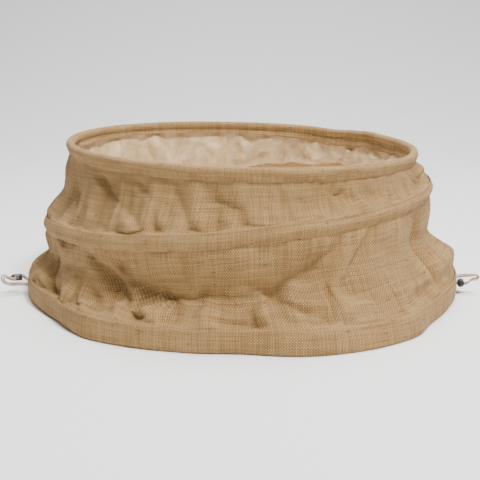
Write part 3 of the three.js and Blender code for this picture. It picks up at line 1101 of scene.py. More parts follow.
def arc(radius: float, start: float, end: float, steps: int) -> list[tuple[float, float]]:
    """Points on a round outline about (0, 0).

    Args:
        radius: Its radius.
        start: Angle of the first point, in degrees from the first axis.
        end: Angle of the last point.
        steps: Number of stretches between points.

    Returns:
        The points.
    """
    turns = np.radians(np.linspace(start, end, steps + 1))
    return [(float(radius * np.cos(t)), float(radius * np.sin(t))) for t in turns]


# Millimetres at azimuths: how far the rim is bent up, how long the flap inside it hangs, how slack the waist
# is and how far the hem is spread out on the floor.
RIM_LIFT = ring_curve({-120: 1.5, -60: 0, 0: 0.4, 60: -0.5, 112: 1, 126: 2.5, 140: -2, 155: 0.5, 180: 0.5})
RIM_FLAP = ring_curve(
    {-170: 4.5, -145: 3.5, -110: 5, -60: 6, 0: 7, 60: 8, 100: 10, 120: 13, 140: 12, 155: 9, 170: 6}
)
WAIST_EASE = ring_curve({-180: 0, -120: 1, -85: 3.5, -55: 1, 0: 0, 90: 0}, 12)
HEM_SPREAD = ring_curve(
    {-165: 3, -140: -4, -115: 3, -90: 0, -74: 0, -62: -5, -52: -8, -38: 8, -22: 0, 0: -8, 12: 10, 20: 16,
     30: 18, 41: 18, 50: 1, 62: -2, 76: 0, 95: 1, 120: -4, 145: 4, 170: -2}
)


@dataclass
class Rim:
    """The rim: a wire hoop in a rolled casing, sewn under the roll, with a loose flap inside.

    Attributes:
        hoop: The ring that it follows.
        roll: The rolled casing's outer radius, in millimetres.
        bore: Its inner radius, in millimetres.
        seam_drop: How far the casing's edge hangs below the hoop, in millimetres.
    """

    hoop: Hoop
    roll: float = 6.2
    bore: float = 4.7
    seam_drop: float = 12

    def lift(self, azimuth: np.ndarray) -> np.ndarray:
        """How far the rim is bent up, in metres."""
        return RIM_LIFT(azimuth) * MM

    def warp(self, azimuth: np.ndarray, out: np.ndarray, up: np.ndarray) -> np.ndarray:
        """Bends the casing to the hoop, with its flap's edge uneven.

        Args:
            azimuth: Azimuths of the casing's points, in radians.
            out: Their distances outwards from the hoop.
            up: Their heights above the hoop.

        Returns:
            Their positions.
        """
        inside = (out < -0.5 * MM) & (up < -self.roll * MM)
        share = np.clip((-up / MM - 7.5) / 3, 0, 1.1)
        ragged = 1 + 0.09 * np.sin(azimuth * 31) + 0.07 * np.sin(azimuth * 47 + 2)
        stretch = np.where(inside, share * (RIM_FLAP(azimuth) * ragged - 2) * MM, 0)
        bow = 3.6 + 0.9 * np.sin(azimuth * 9) + 0.6 * np.sin(azimuth * 23 + 1)
        curl = np.where(inside, share * bow * MM, 0)
        flat = np.stack([azimuth * self.hoop.radius, out, up], axis=-1)
        loose = rough(flat, 0.03, 5) * 0.5 * MM
        height = up + self.lift(azimuth) + loose * 0.6 - stretch
        return self.hoop.place(azimuth, out + loose - curl, height)

    def seam(self, azimuth: np.ndarray) -> np.ndarray:
        """Where the upper cloth is sewn under the roll."""
        zero = np.zeros_like(azimuth)
        return self.hoop.place(azimuth, zero, self.lift(azimuth) - (self.seam_drop - 2.5) * MM)

    def stitch_line(self, azimuth: np.ndarray) -> np.ndarray:
        """Where the stitches lie on the casing's outer face."""
        zero = np.zeros_like(azimuth)
        return self.hoop.place(azimuth, zero + 2.45 * MM, self.lift(azimuth) - 10.6 * MM)

    def build(self, finishes: Finishes) -> None:
        """Builds the casing and its stitches.

        Args:
            finishes: The materials.
        """
        d = self.seam_drop
        outline = [
            *arc(self.roll, -30, 238, 22),
            (-3.2, -7.5), (-3.6, -8.6), (-3.8, -9.6), (-3.8, -10.5), (-3.2, -10.7), (-2.7, -10.5),
            (-2.6, -9.6), (-2.4, -8.6), (-1.6, -7.4),
            *arc(self.bore, 258, -78, 14),
            (0.8, -7), (0.7, -d), (1.3, -d - 0.5), (2.0, -d + 0.6), (3.4, -8.6), (4.6, -5.4),
        ]
        strip = Strip("rim_casing_cloth", tuple(outline), self.warp, self.hoop.radius)
        casing = strip.build(-180, 180, finishes.jute, ["rim_casing"])
        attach(casing, "rim")
        thread = Stitches("rim_stitches", self.stitch_line).build(-179, 180, finishes.thread)
        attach(thread, "rim")


@dataclass
class Waist:
    """The waist: a thinner wire hoop between an outer and an inner strip, sewn above and below it.

    Attributes:
        hoop: The ring that it follows.
        half: Half the casing's height, in millimetres.
    """

    hoop: Hoop
    half: float = 10.5

    def wave(self, azimuth: np.ndarray) -> np.ndarray:
        """The casing's small rise and fall."""
        return (0.7 * np.sin(azimuth * 5 + 0.7) + 0.5 * np.sin(azimuth * 11)) * MM

    def warp(self, azimuth: np.ndarray, out: np.ndarray, up: np.ndarray) -> np.ndarray:
        """Bends a strip to the hoop, puckered along its edges.

        Args:
            azimuth: Azimuths of the strip's points, in radians.
            out: Their distances outwards from the hoop.
            up: Their heights above the hoop.

        Returns:
            Their positions.
        """
        flat = np.stack([azimuth * self.hoop.radius, out, up], axis=-1)
        edge = np.clip(np.abs(up) / (self.half * MM), 0, 1)
        pucker = rough(flat, 0.022, 11) * 0.7 * MM
        slack = WAIST_EASE(azimuth) * MM
        outward = out + slack + pucker * (0.4 + edge * 0.6)
        return self.hoop.place(azimuth, outward, up + self.wave(azimuth) * edge)

    def seam(self, azimuth: np.ndarray, direction: float) -> np.ndarray:
        """Where a tier's cloth goes under the casing: above it for 1, below it for -1."""
        slack = WAIST_EASE(azimuth) * MM
        return self.hoop.place(azimuth, slack, direction * (self.half - 2.5) * MM + self.wave(azimuth))

    def stitch_line(self, azimuth: np.ndarray, direction: float) -> np.ndarray:
        """Where a row of stitches lies on the outer strip: the upper row for 1, the lower row for -1."""
        zero = np.zeros_like(azimuth)
        up = direction * (self.half - 1.7) * MM + self.wave(azimuth)
        return self.hoop.place(azimuth, zero + 2.2 * MM, up)

    def build(self, finishes: Finishes) -> None:
        """Builds both strips and the two rows of stitches.

        Args:
            finishes: The materials.
        """
        h = self.half
        bulge = [(2.1, 8), (3.9, 5), (5.2, 2.2), (5.6, 0), (5.2, -2.2), (3.9, -5), (2.1, -8)]
        hollow = [(1.0, -8), (2.7, -4.8), (4.0, -2), (4.4, 0), (4.0, 2), (2.7, 4.8), (1.0, 8)]
        wall = [(1.3, h), *bulge, (1.3, -h)]
        back = [(0.7, -h - 0.1), *hollow, (0.7, h + 0.1)]
        outer = tuple(wall + back)
        inner = tuple((-x * 1.1 - 0.4, u * 0.85) for x, u in reversed(outer))
        cover = Strip("waist_casing_outer", outer, self.warp, self.hoop.radius)
        backing = Strip("waist_casing_inner", inner, self.warp, self.hoop.radius)
        face = cover.build(-180, 180, finishes.jute, ["waist_casing"])
        lining = backing.build(-180, 180, finishes.lining, [], "lining")
        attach(face, "waist")
        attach(lining, "waist")
        threads = []
        for label, direction in (("upper", 1), ("lower", -1)):
            line = partial(self.stitch_line, direction=direction)
            rows = Stitches(f"waist_{label}_stitches", line)
            threads.append(rows.build(-179, 180, finishes.thread))
            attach(threads[-1], "waist")


@dataclass
class Hem:
    """The hem: the cloth's edge folded up inside and sewn, with the drawcords' channel in it.

    Attributes:
        foot_radius: The radius of its outer face near the floor.
        top_radius: The radius at which the cloth above goes into it.
        seam_height: The height of its upper edge.
        gain: How many times deeper than given the cloth's creases run on in it.
    """

    foot_radius: float = HEM_RADIUS
    top_radius: float = HEM_TOP_RADIUS
    seam_height: float = 31 * MM
    gain: float = 1.2

    def warp(self, azimuth: np.ndarray, out: np.ndarray, up: np.ndarray) -> np.ndarray:
        """Bends the hem to its uneven footprint, with soft puckers.

        Args:
            azimuth: Azimuths of the hem's points, in radians.
            out: Their distances outwards from the foot.
            up: Their heights above the floor.

        Returns:
            Their positions.
        """
        share = np.clip(up / self.seam_height, 0, 1)
        flat = np.stack([azimuth * self.foot_radius, np.full_like(out, 0.0), up], axis=-1)
        pucker = rough(flat, 0.04, 17) * 1.2 * MM * (1 - 0.4 * share)
        lean = HEM_SPREAD(azimuth) * MM * (1 - 0.35 * share)
        r = self.foot_radius + out + lean + pucker * np.clip(up / 0.004, 0.3, 1)
        # The folds of the cloth above run on into the hem and die out towards the floor.
        level = (up - self.seam_height) / LOWER_HEIGHT
        dents = sum(fold.dent(azimuth, level, LOWER_RADIUS, LOWER_HEIGHT) for fold in LOWER_FOLDS)
        r = r - self.gain * dents * share**1.5
        lift = (0.8 * np.sin(azimuth * 7) + 0.8) * MM * share
        return np.stack([r * np.sin(azimuth), -r * np.cos(azimuth), np.maximum(up + lift, 0.0002)], axis=-1)

    def seam(self, azimuth: np.ndarray) -> np.ndarray:
        """Where the lower cloth goes into the hem."""
        out = self.top_radius - self.foot_radius
        return self.warp(azimuth, azimuth * 0 + out, azimuth * 0 + self.seam_height - 2.5 * MM)

    def stitch_line(self, azimuth: np.ndarray) -> np.ndarray:
        """Where the stitches lie on the hem's outer face."""
        zero = np.zeros_like(azimuth)
        return self.warp(azimuth, zero - 1.7 * MM, zero + self.seam_height - 3.5 * MM)

    def build(self, finishes: Finishes, slit: float) -> None:
        """Builds both halves, which stop at the slits, and their stitches.

        Args:
            finishes: The materials.
            slit: The slits' width.
        """
        top = self.seam_height / MM
        outline = [
            (-2.6, top), (-1.7, 27), (-0.9, 22), (-0.3, 16), (0, 10), (-0.2, 5), (-1, 2), (-2.6, 0.3),
            (-4.5, 0.1), (-6.6, 0.4), (-8.2, 2), (-9, 6), (-9.1, 12), (-8.8, 20), (-8.3, 26),
            (-8.1, top - 1), (-7.4, top - 0.6), (-7.2, 26), (-7.5, 20), (-7.9, 12), (-7.7, 6), (-6.8, 2.6),
            (-4.8, 1.6), (-2.6, 2.6), (-1.6, 6), (-1.3, 10), (-1.6, 16), (-2.2, 22), (-3, 27),
            (-3.4, top - 0.4),
        ]
        gap = math.degrees(slit / 2 / self.foot_radius)
        for side in Side:
            start, end = side.value
            strip = Strip(f"hem_{side.label}_cloth", tuple(outline), self.warp, self.foot_radius)
            piece = strip.build(start + gap, end - gap, finishes.jute, [f"hem_{side.label}"])
            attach(piece, "base")
            rows = Stitches(f"hem_{side.label}_stitches", self.stitch_line)
            thread = rows.build(start + gap + 1, end - gap - 1, finishes.thread)
            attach(thread, "base")


@dataclass
class Stitches:
    """A row of lockstitches along a line round the collar."""

    name: str
    line: Curve
    pitch: float = 4.6 * MM
    length: float = 3.4 * MM
    width: float = 0.7 * MM

    def build(self, start: float, end: float, material: bpy.types.Material) -> bpy.types.Object:
        """Lays a stitch at every pitch.

        Args:
            start: First azimuth, in degrees.
            end: Last azimuth, in degrees.
            material: The thread's finish.

        Returns:
            The row as one piece.
        """
        path = self.line(np.radians(np.linspace(start, end, 2000)))
        run = np.concatenate([[0], np.cumsum(np.linalg.norm(np.diff(path, axis=0), axis=1))])
        middles = np.arange(self.pitch, run[-1] - self.pitch, self.pitch)
        size = Matrix.Diagonal((self.length / 2, self.width / 2, self.width / 2, 1))
        bm = bmesh.new()
        for middle in middles:
            here, before, after = (
                Vector([np.interp(middle + shift, run, path[:, k]) for k in range(3)])
                for shift in (0, -self.length / 2, self.length / 2)
            )
            along = (after - before).normalized()
            turn = along.to_track_quat("X", "Z").to_matrix().to_4x4()
            place = Matrix.Translation(here) @ turn @ size
            bmesh.ops.create_icosphere(bm, subdivisions=1, radius=1, matrix=place)
        return link(mesh_of(bm, self.name), self.name, material)


# ------------------------------------------------------------------------------------ cords and cord locks


def tube(path: np.ndarray, radius: float, name: str, sides: int = 12) -> bpy.types.Mesh:
    """A round cord or wire along a path, with its ends closed.

    Args:
        path: Points along its middle.
        radius: Its radius.
        name: The mesh's name.
        sides: Faces round it.

    Returns:
        The mesh, with a UV map in metres along and round it.
    """
    steps = np.linalg.norm(np.diff(path, axis=0), axis=1)
    run = np.concatenate([[0], np.cumsum(steps)])
    tangent = np.gradient(path, run, axis=0)
    tangent /= np.linalg.norm(tangent, axis=1, keepdims=True)
    across = Vector(tangent[0]).orthogonal().normalized()
    turns = np.linspace(0, 2 * math.pi, sides + 1)
    rings = []
    for here, along in zip(path, tangent):
        along = Vector(along)
        across = (across - along * across.dot(along)).normalized()
        second = np.array(along.cross(across))
        first = np.array(across)
        rings.append(here + radius * (np.cos(turns)[:, None] * first + np.sin(turns)[:, None] * second))
    points = np.stack(rings, axis=1)
    around = turns[:, None].repeat(len(path), 1) * radius
    uvs = np.stack([run[None, :].repeat(sides + 1, 0), around], axis=-1)
    bm = grid_bmesh(points, uvs)
    bmesh.ops.remove_doubles(bm, verts=bm.verts, dist=1e-7)
    bmesh.ops.holes_fill(bm, edges=[e for e in bm.edges if e.is_boundary], sides=0)
    bmesh.ops.recalc_face_normals(bm, faces=bm.faces)
    return mesh_of(bm, name)


def through(points: np.ndarray, steps: int = 14) -> np.ndarray:
    """A centripetal curve through points.

    Args:
        points: The points it goes through.
        steps: Samples between two of them.

    Returns:
        Positions along the curve.
    """
    ends = np.vstack([2 * points[0] - points[1], points, 2 * points[-1] - points[-2]])
    gaps = np.sqrt(np.linalg.norm(np.diff(ends, axis=0), axis=1))
    made = []
    for i in range(1, len(ends) - 2):
        p0, p1, p2, p3 = ends[i - 1 : i + 3]
        g0, g1, g2 = gaps[i - 1 : i + 2]
        m1 = (p2 - p1) + g1 * ((p1 - p0) / g0 - (p2 - p0) / (g0 + g1))
        m2 = (p2 - p1) + g1 * ((p3 - p2) / g2 - (p3 - p1) / (g1 + g2))
        t = np.linspace(0, 1, steps, endpoint=i == len(ends) - 3)[:, None]
        from_start = (2 * t**3 - 3 * t**2 + 1) * p1 + (t**3 - 2 * t**2 + t) * m1
        to_end = (3 * t**2 - 2 * t**3) * p2 + (t**3 - t**2) * m2
        made.append(from_start + to_end)
    return np.vstack(made)


@dataclass(frozen=True)
class SlitSide:
    """A side of the collar at its slit, with its own frame: out from the hem's foot, backward, up."""

    name: str
    azimuth: float
    foot: float = HEM_RADIUS

    def frame(self) -> Matrix:
        """The side's frame.

        Returns:
            A matrix whose columns point out, backward and up.
        """
        a = math.radians(self.azimuth)
        out = Vector((math.sin(a), -math.cos(a), 0))
        back = Vector((math.cos(a), math.sin(a), 0)) * math.copysign(1, self.azimuth)
        up = Vector((0, 0, 1))
        made = Matrix((out, back, up)).transposed().to_4x4()
        return Matrix.Translation(out * self.foot) @ made

    def points(self, places: Sequence[Point]) -> np.ndarray:
        """Turns places in the side's frame, in millimetres, to the shared frame in metres."""
        turn = self.frame()
        return np.array([turn @ (Vector(p) * MM) for p in places])


# Where each free cord runs, in millimetres in its side's frame: out of the slit, through the lock and back.
CORD_PATHS: dict[str, tuple[Point, ...]] = {
    "left_front": (
        (-5.472, -6.4, 14), (-5.4, -4.4, 14.3), (-4.1, -1.7, 16.8), (-0.6, 0.2, 20.8), (3.4, 3.4, 24.6),
        (8, 7.2, 26.6), (12.6, 9.2, 26.7), (16.4, 7.6, 26.4), (17.4, 4.2, 26.35), (17.4, 0, 26.35),
        (17.4, -5.2, 26.35), (18.6, -8.6, 26.6), (22.4, -10, 27.2), (27, -8, 28.8), (31.6, -4.6, 30.4),
        (35.6, -1.6, 29.6), (37.6, 0.2, 25.8), (37, 0.8, 21), (33.4, 0.8, 16.8), (27.4, 0.4, 14.2),
        (19, -0.2, 13.4), (10, -0.4, 13.2), (3, -0.4, 12.4), (-3, -0.2, 10.4), (-8.7, 0, 8.8),
    ),
    "left_back": (
        (-5.472, 6.4, 14), (-5.4, 4.5, 14.2), (-4, 2.5, 15.6), (-1.2, 1.6, 17.9), (2.6, 3.2, 21.2),
        (7, 6.8, 23.2), (12, 9.6, 23.7), (16.2, 8, 23.65), (17.4, 4.2, 23.65), (17.4, 0, 23.65),
        (17.4, -5.4, 23.65), (18.8, -8.6, 23.7), (22.6, -9.4, 24.2), (26.8, -6.8, 25.6), (30.6, -3.6, 26.8),
        (33.4, -1, 26), (34.5, 0.6, 23.2), (33, 1, 19.8), (28.8, 0.8, 17.4), (23, 0.4, 16.3),
        (15, 0, 16), (8, -0.2, 15.9), (2, -0.2, 15), (-3.6, 0, 12.9), (-8.7, 0, 11.8),
    ),
    "right_front": (
        (-5.472, -6.4, 14), (-5.4, -4.4, 14.2), (-4.2, -1.8, 16), (-1, -0.3, 17.2), (2.4, 0, 17.05),
        (5.4, 0, 17.05), (10, 0, 17.05), (14.4, -0.5, 17.4), (18.6, -1.3, 19.8), (22.6, -1.4, 21.7),
        (26.6, -1.35, 22.2), (29.8, -1.35, 24.2), (30.6, -1.35, 27), (28.6, -1.35, 29.6), (24.6, -1.35, 30.2),
        (18, -1.2, 29.8), (11, -0.9, 29.4), (4, -0.5, 28.6), (-2, -0.2, 27.4), (-8.7, 0, 26.6),
    ),
    "right_back": (
        (-5.472, 6.4, 14), (-5.4, 4.4, 14), (-4.2, 1.8, 14.1), (-1, 0.3, 14.3), (2.4, 0, 14.35),
        (5.4, 0, 14.35), (10, 0, 14.35), (14.2, 0.6, 15), (17.4, 1.6, 17.8), (20.6, 1.9, 21.4),
        (24, 1.7, 23.6), (27.6, 1.7, 24.2), (29.4, 1.7, 26), (28.6, 1.7, 28), (25.6, 1.7, 28.4),
        (21, 1.6, 27.4), (15, 1.4, 26.6), (9, 1.1, 26), (3.4, 0.7, 25), (-2, 0.3, 23.6), (-8.7, 0, 22.8),
    ),
}


@dataclass
class CordLock:
    """A spring cord lock: a barrel with a window, and a plunger whose button is pressed to free the cords.

    Its sizes are in millimetres, and heights are measured along its axis from the closed end.
    """

    side: SlitSide
    closed_end: Point
    axis: Point
    radius: float = 5.0
    length: float = 14.5
    wall: float = 1.1
    edge: float = 1.3
    grip_foot: float = 1.9
    rib: float = 0.4
    rib_edges: int = 6
    rib_depth: float = 0.25
    window: float = 5.4
    window_across: float = 5.6
    window_centre: float = 8.2
    travel: float = 2.4
    plunger_radius: float = 3.65
    plunger_foot: float = 6.3
    button_radius: float = 2.5
    button_reach: float = 4.4
    spring_wire: float = 0.45
    spring_radius: float = 3.15
    spring_turns: float = 3.0

    def frame(self) -> Matrix:
        """The lock's frame.

        Returns:
            A matrix whose Z runs along the axis from the closed end, and whose X points up.
        """
        side = self.side.frame()
        axis = (side.to_3x3() @ Vector(self.axis)).normalized()
        up = Vector((0, 0, 1))
        turn = Matrix((up, axis.cross(up), axis)).transposed().to_4x4()
        return Matrix.Translation(side @ (Vector(self.closed_end) * MM)) @ turn

    def turned(self, outline: Sequence[tuple[float, float]]) -> bmesh.types.BMesh:
        """Spins an outline, in millimetres, about the lock's axis."""
        metres = [(r * MM, h * MM) for r, h in outline]
        return spun_section(metres, 0, 2 * math.pi, 48)

    def pierced(
        self, bm: bmesh.types.BMesh, name: str, height: float, material: bpy.types.Material
    ) -> bpy.types.Object:
        """Cuts the cords' window through a turned body, rounds its edges and puts it in its place.

        Args:
            bm: The turned body.
            name: The piece's name.
            height: The window's middle along the axis.
            material: The piece's finish.

        Returns:
            The finished piece.
        """
        piece = link(mesh_of(bm, name), name, material)
        cutter = bmesh.new()
        size = Matrix.Diagonal((self.window_across * MM, 4 * self.radius * MM, self.window * MM, 1))
        bmesh.ops.create_cube(cutter, size=1, matrix=Matrix.Translation((0, 0, height * MM)) @ size)
        punch = link(mesh_of(cutter, f"{name}_punch"), f"{name}_punch")
        cut = piece.modifiers.new("Window", "BOOLEAN")
        cut.object = punch
        cut.solver = "EXACT"
        soften = piece.modifiers.new("Edges", "BEVEL")
        soften.width = 0.18 * MM
        soften.segments = 2
        soften.limit_method = "ANGLE"
        soften.angle_limit = math.radians(40)
        apply_modifiers(piece)
        spare = punch.data
        bpy.data.objects.remove(punch)
        bpy.data.meshes.remove(spare)
        piece.data.transform(self.frame())
        piece.data.set_sharp_from_angle(angle=math.radians(50))
        return piece

    def barrel(self, finish: bpy.types.Material) -> bpy.types.Object:
        """Builds the barrel, closed at one end and with a ribbed grip.

        Args:
            finish: Its material.

        Returns:
            The barrel.
        """
        bore = self.radius - self.wall
        ribs = [self.grip_foot + k * self.rib for k in range(self.rib_edges)]
        grip = [(self.radius if k % 2 else self.radius - self.rib_depth, h) for k, h in enumerate(ribs)]
        corner = [(self.radius - self.edge + x, self.edge + y) for x, y in arc(self.edge, -90, 0, 5)]
        top = [(self.radius, self.length - 0.5), (self.radius - 0.5, self.length), (bore, self.length)]
        outline = [(0, 0), *corner, *grip, *top, (bore, self.wall), (0, self.wall)]
        piece = self.pierced(self.turned(outline), f"{self.side.name}_lock_body", self.window_centre, finish)
        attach(piece, f"{self.side.name}_lock")
        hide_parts(f"{self.side.name}_lock_barrel")
        return piece

    def plunger(self, finish: bpy.types.Material) -> bpy.types.Object:
        """Builds the plunger with its domed button.

        Args:
            finish: Its material.

        Returns:
            The plunger.
        """
        shoulder, tip = self.length - 0.3, self.length + self.button_reach
        dome = [(x, tip - self.button_radius + y) for x, y in arc(self.button_radius, 0, 90, 6)]
        stem = [(self.plunger_radius, self.plunger_foot), (self.plunger_radius, shoulder)]
        outline = [(0, self.plunger_foot), *stem, (self.button_radius, shoulder), *dome]
        height = self.window_centre + self.travel
        piece = self.pierced(self.turned(outline), f"{self.side.name}_lock_button", height, finish)
        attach(piece, f"{self.side.name}_button")
        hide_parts(f"{self.side.name}_lock_plunger")
        return piece

    def spring(self, finish: bpy.types.Material) -> bpy.types.Object:
        """Builds the coil spring under the plunger, which shortens when the button is pressed.

        Args:
            finish: Its material.

        Returns:
            The spring.
        """
        low, high = self.wall + 0.3 + self.spring_wire, self.plunger_foot - 0.3 - self.spring_wire
        turns = np.linspace(0, 2 * math.pi * self.spring_turns, 90)
        rise = low + (high - low) * turns / turns[-1]
        circle = np.column_stack([np.cos(turns), np.sin(turns)]) * self.spring_radius
        coil = np.column_stack([circle, rise])
        place = np.array(self.frame())
        path = coil * MM @ place[:3, :3].T + place[:3, 3]
        name = f"{self.side.name}_lock_coil"
        piece = link(tube(path, self.spring_wire / 2 * MM, name, 8), name, finish)
        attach(piece, f"{self.side.name}_lock")
        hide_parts(f"{self.side.name}_lock_spring")
        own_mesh(piece)
        return piece

    def build(self, finishes: Finishes) -> list[bpy.types.Object]:
        """Builds the barrel and the spring on the lock's body, and the plunger on the button's."""
        return [self.barrel(finishes.plastic), self.plunger(finishes.plastic), self.spring(finishes.steel)]


@dataclass
class CordSide:
    """The cords and the lock at one slit."""

    side: SlitSide
    lock: CordLock
    diameter: float = 2.4 * MM

    def build(self, finishes: Finishes) -> None:
        """Builds both free cord ends and their lock.

        Args:
            finishes: The materials.
        """
        locks = self.lock.build(finishes)
        for half in Side:
            key = f"{self.side.name}_{half.label}"
            path = through(self.side.points(CORD_PATHS[key]))
            name = f"{key}_cord"
            cord = link(tube(path, self.diameter / 2, name), name, finishes.elastic)
            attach(cord, "base")
            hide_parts(f"{key}_cord_end")


# ------------------------------------------------------------------------------------------------ studio


@dataclass
class Studio:
    """The camera, a plain pale floor and soft studio light."""

    eye: Point = (-0.0036, -1.30, 0.386)
    down: float = 13.9
    lens: float = 65.0
    floor: str = "fcfbfa"
    width: float = 16.0
    bend_start: float = 1.2
    bend: float = 3.0
    surround: float = 0.18

    def camera(self) -> bpy.types.Object:
        """Adds the camera and makes it the scene's.

        Returns:
            The camera.
        """
        data = bpy.data.cameras.new("studio_camera")
        data.lens = self.lens
        data.sensor_width = 36
        data.dof.use_dof = False
        made = bpy.data.objects.new("studio_camera", data)
        made.location = self.eye
        made.rotation_euler = (math.radians(90 - self.down), 0, 0)
        bpy.context.scene.collection.objects.link(made)
        bpy.context.scene.camera = made
        return made

    def backdrop(self) -> None:
        """Adds the floor, which sweeps up behind, and the white surround."""
        bm = bmesh.new()
        sweep = [(self.bend_start + y, self.bend + z) for y, z in arc(self.bend, -90, 0, 48)]
        bends = [(-6, 0), (1.1, 0), *sweep, (self.bend_start + self.bend, 8)]
        line = [bm.verts.new((-self.width / 2, y, z)) for y, z in bends]
        edges = [bm.edges.new(pair) for pair in zip(line[:-1], line[1:])]
        swept = bmesh.ops.extrude_edge_only(bm, edges=edges)["geom"]
        far_side = [g for g in swept if isinstance(g, bmesh.types.BMVert)]
        bmesh.ops.translate(bm, vec=(self.width, 0, 0), verts=far_side)
        bmesh.ops.recalc_face_normals(bm, faces=bm.faces)
        material, tree = blank_material("painted_floor")
        shader = add(tree, "BsdfPrincipled", Base_Color=srgb(self.floor), Roughness=0.9)
        add(tree, "OutputMaterial", Surface=shader)
        ground = link(mesh_of(bm, "studio_floor"), "studio_floor", material)
        world = bpy.data.worlds.new("studio_world")
        bpy.context.scene.world = world
        world.use_nodes = True
        glow = world.node_tree.nodes["Background"]
        glow.inputs["Color"].default_value = (1, 1, 1, 1)
        glow.inputs["Strength"].default_value = self.surround

    def lights(self) -> None:
        """Adds a key light above the front right, and wide soft lights overhead and behind."""
        for name, power, size, place in (
            ("key", 118.0, 0.6, (0.84, -1.0, 2.6)),
            ("top", 36.0, 1.2, (0.0, 0.4, 2.5)),
            ("back", 80.0, 2.0, (0.0, 0.9, 3.4)),
        ):
            data = bpy.data.lights.new(f"{name}_light", "AREA")
            data.energy = power
            data.size = size
            made = bpy.data.objects.new(f"{name}_light", data)
            made.location = place
            aim = Vector((0, 0, 0.1)) - made.location
            made.rotation_euler = aim.to_track_quat("-Z", "Y").to_euler()
            bpy.context.scene.collection.objects.link(made)


# ------------------------------------------------------------------------------------------------ collar


def near(azimuth: np.ndarray, degrees: float, width: float) -> np.ndarray:
    """A smooth hump of height 1 round the collar, at an azimuth, with a width in degrees."""
    off = (np.degrees(azimuth) - degrees + 180) % 360 - 180
    return np.exp(-((off / width) ** 2))


def upper_profile(azimuth: np.ndarray, up: np.ndarray) -> np.ndarray:
    """How far the upper tier stands out of the straight line between its rings, before its folds.

    Args:
        azimuth: Azimuths, in radians.
        up: Heights, as shares of the tier.

    Returns:
        Distances outwards, in metres.
    """
    slack = 0.003 * np.sin(np.pi * up) - 0.004 * np.exp(-(((up - 0.55) / 0.22) ** 2))
    left = 0.009 * near(azimuth, -85, 24) * np.exp(-(((up - 0.5) / 0.26) ** 2))
    right = 0.006 * near(azimuth, 80, 25) * np.exp(-(((up - 0.68) / 0.2) ** 2))
    return slack - left + right


def lower_profile(azimuth: np.ndarray, up: np.ndarray) -> np.ndarray:
    """How far the lower tier stands out: proud under the waist, pulled in at mid height, flared at the foot.

    Args:
        azimuth: Azimuths, in radians.
        up: Heights, as shares of the tier.

    Returns:
        Distances outwards, in metres.
    """
    proud = 0.005 * np.exp(-(((up - 0.9) / 0.08) ** 2)) * (1 - near(azimuth, 85, 30) - near(azimuth, -85, 30))
    pulled = (0.010 + 0.004 * near(azimuth, -5, 22)) * np.exp(-(((up - 0.62) / 0.18) ** 2))
    pulled += 0.008 * near(azimuth, -85, 25) * np.exp(-(((up - 0.42) / 0.2) ** 2))
    pulled += 0.010 * near(azimuth, 85, 25) * np.exp(-(((up - 0.58) / 0.2) ** 2))
    flared = 0.006 * np.exp(-(((up - 0.28) / 0.14) ** 2))
    return proud - pulled + flared


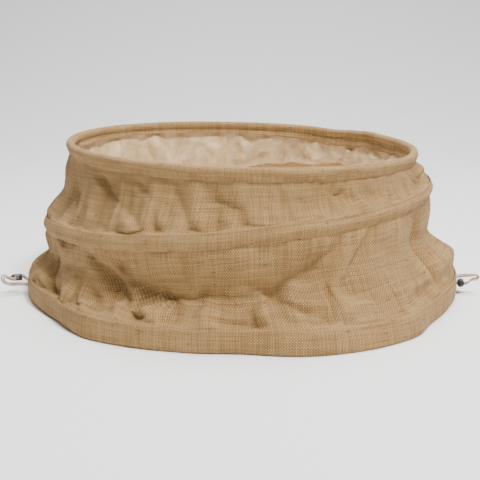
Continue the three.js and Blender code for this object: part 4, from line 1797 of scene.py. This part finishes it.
@dataclass
class Collar:
    """The whole collar.

    Attributes:
        finishes: The materials.
        rim: The rim.
        waist: The waist.
        hem: The hem.
        slit: The slits' width.
        cord_height: The drawcords' height above the floor.
        cord_out: How far out from the hem's foot they lie.
        cord_stop: How far from a slit's middle they end.
        cord_radius: Their radius.
        tab_reach: How far the tabs reach to each side of a slit, in degrees.
    """

    finishes: Finishes
    rim: Rim
    waist: Waist
    hem: Hem
    slit: float = 10 * MM
    cord_height: float = 14 * MM
    cord_out: float = -5.472 * MM
    cord_stop: float = 6.4 * MM
    cord_radius: float = 1.2 * MM
    tab_reach: float = 1.6

    def tiers(self) -> list[Tier]:
        """The two tiers of cloth, between the rings they are sewn to.

        Returns:
            The upper tier and the lower one.
        """
        upper = Tier(
            "upper",
            low=partial(self.waist.seam, direction=1),
            high=self.rim.seam,
            radius=UPPER_RADIUS,
            height=UPPER_HEIGHT,
            folds=UPPER_FOLDS,
            profile=upper_profile,
            seed=4,
            below="waist",
            above="rim",
            rests_on=("waist_casing_outer", "rim_casing_cloth"),
        )
        lower = Tier(
            "lower",
            low=self.hem.seam,
            high=partial(self.waist.seam, direction=-1),
            radius=LOWER_RADIUS,
            height=LOWER_HEIGHT,
            folds=LOWER_FOLDS,
            profile=lower_profile,
            seed=9,
            # The folds stay clear of the rim, which sinks inside this tier when the collar is folded down.
            clear=0.269,
            below="base",
            above="waist",
            rests_on=("hem_front_cloth", "hem_back_cloth", "waist_casing_outer"),
        )
        return [upper, lower]

    def drawcords(self) -> None:
        """Lays the drawcords in the hem's channel, from slit to slit."""
        shy = self.cord_stop / self.hem.foot_radius
        for side in Side:
            start, end = side.span
            azimuth = np.linspace(start + shy, end - shy, 160)
            zero = np.zeros_like(azimuth)
            path = self.hem.warp(azimuth, zero + self.cord_out, zero + self.cord_height)
            name = f"{side.label}_drawcord_run"
            cord = link(tube(path, self.cord_radius, name, 10), name, self.finishes.elastic)
            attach(cord, "base")
            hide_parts(f"{side.label}_drawcord")

    def tabs(self) -> None:
        """Makes the tab behind each slit."""
        face = ((-9.9, 34), (-9.5, 20), (-9.8, 10), (-9.6, 1))
        back = ((-10.8, 1), (-11, 10), (-10.7, 20), (-11.1, 34))
        reach = self.tab_reach
        for side_name, azimuth in SLITS.items():
            tab = f"{side_name}_cord_tab"
            strip = Strip(f"{tab}_cloth", face + back, self.hem.warp, self.hem.foot_radius, pitch=0.4)
            piece = strip.build(azimuth - reach, azimuth + reach, self.finishes.tape, [tab], "tape")
            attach(piece, "base")

    def wires(self, nodes: dict[str, bpy.types.Object]) -> None:
        """Gives the hoops and their joining sleeves their finishes.

        Args:
            nodes: The CAD's pieces.
        """
        for name in ("rim", "waist"):
            nodes[f"{name}_hoop"].material_slots[0].material = self.finishes.wire
            nodes[f"{name}_hoop_sleeve"].material_slots[0].material = self.finishes.steel

    def build(self, nodes: dict[str, bpy.types.Object]) -> None:
        """Builds every piece but the free cords.

        Args:
            nodes: The CAD's pieces.
        """
        self.wires(nodes)
        self.rim.build(self.finishes)
        self.waist.build(self.finishes)
        self.hem.build(self.finishes, self.slit)
        self.tabs()
        self.drawcords()
        for tier in self.tiers():
            pieces = tier.build(self.finishes)
            tier.hang(pieces)


def main() -> None:
    """Builds the collar on the CAD frame."""
    logging.basicConfig(level=logging.INFO, format="%(name)s: %(message)s")
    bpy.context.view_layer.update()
    studio = Studio()
    studio.camera()
    finishes = Finishes.build()
    left, right = (SlitSide(name, azimuth) for name, azimuth in SLITS.items())
    CordSide(left, CordLock(left, closed_end=(8, 0, 25), axis=(1, 0, 0))).build(finishes)
    CordSide(right, CordLock(right, closed_end=(5.4, 9.4, 15.7), axis=(0, -1, 0))).build(finishes)
    nodes = frame["nodes"]
    collar = Collar(
        finishes,
        rim=Rim(Hoop.of_node(nodes["rim_hoop"])),
        waist=Waist(Hoop.of_node(nodes["waist_hoop"])),
        hem=Hem(),
    )
    collar.build(nodes)
    studio.backdrop()
    studio.lights()


if __name__ == "__main__":
    main()
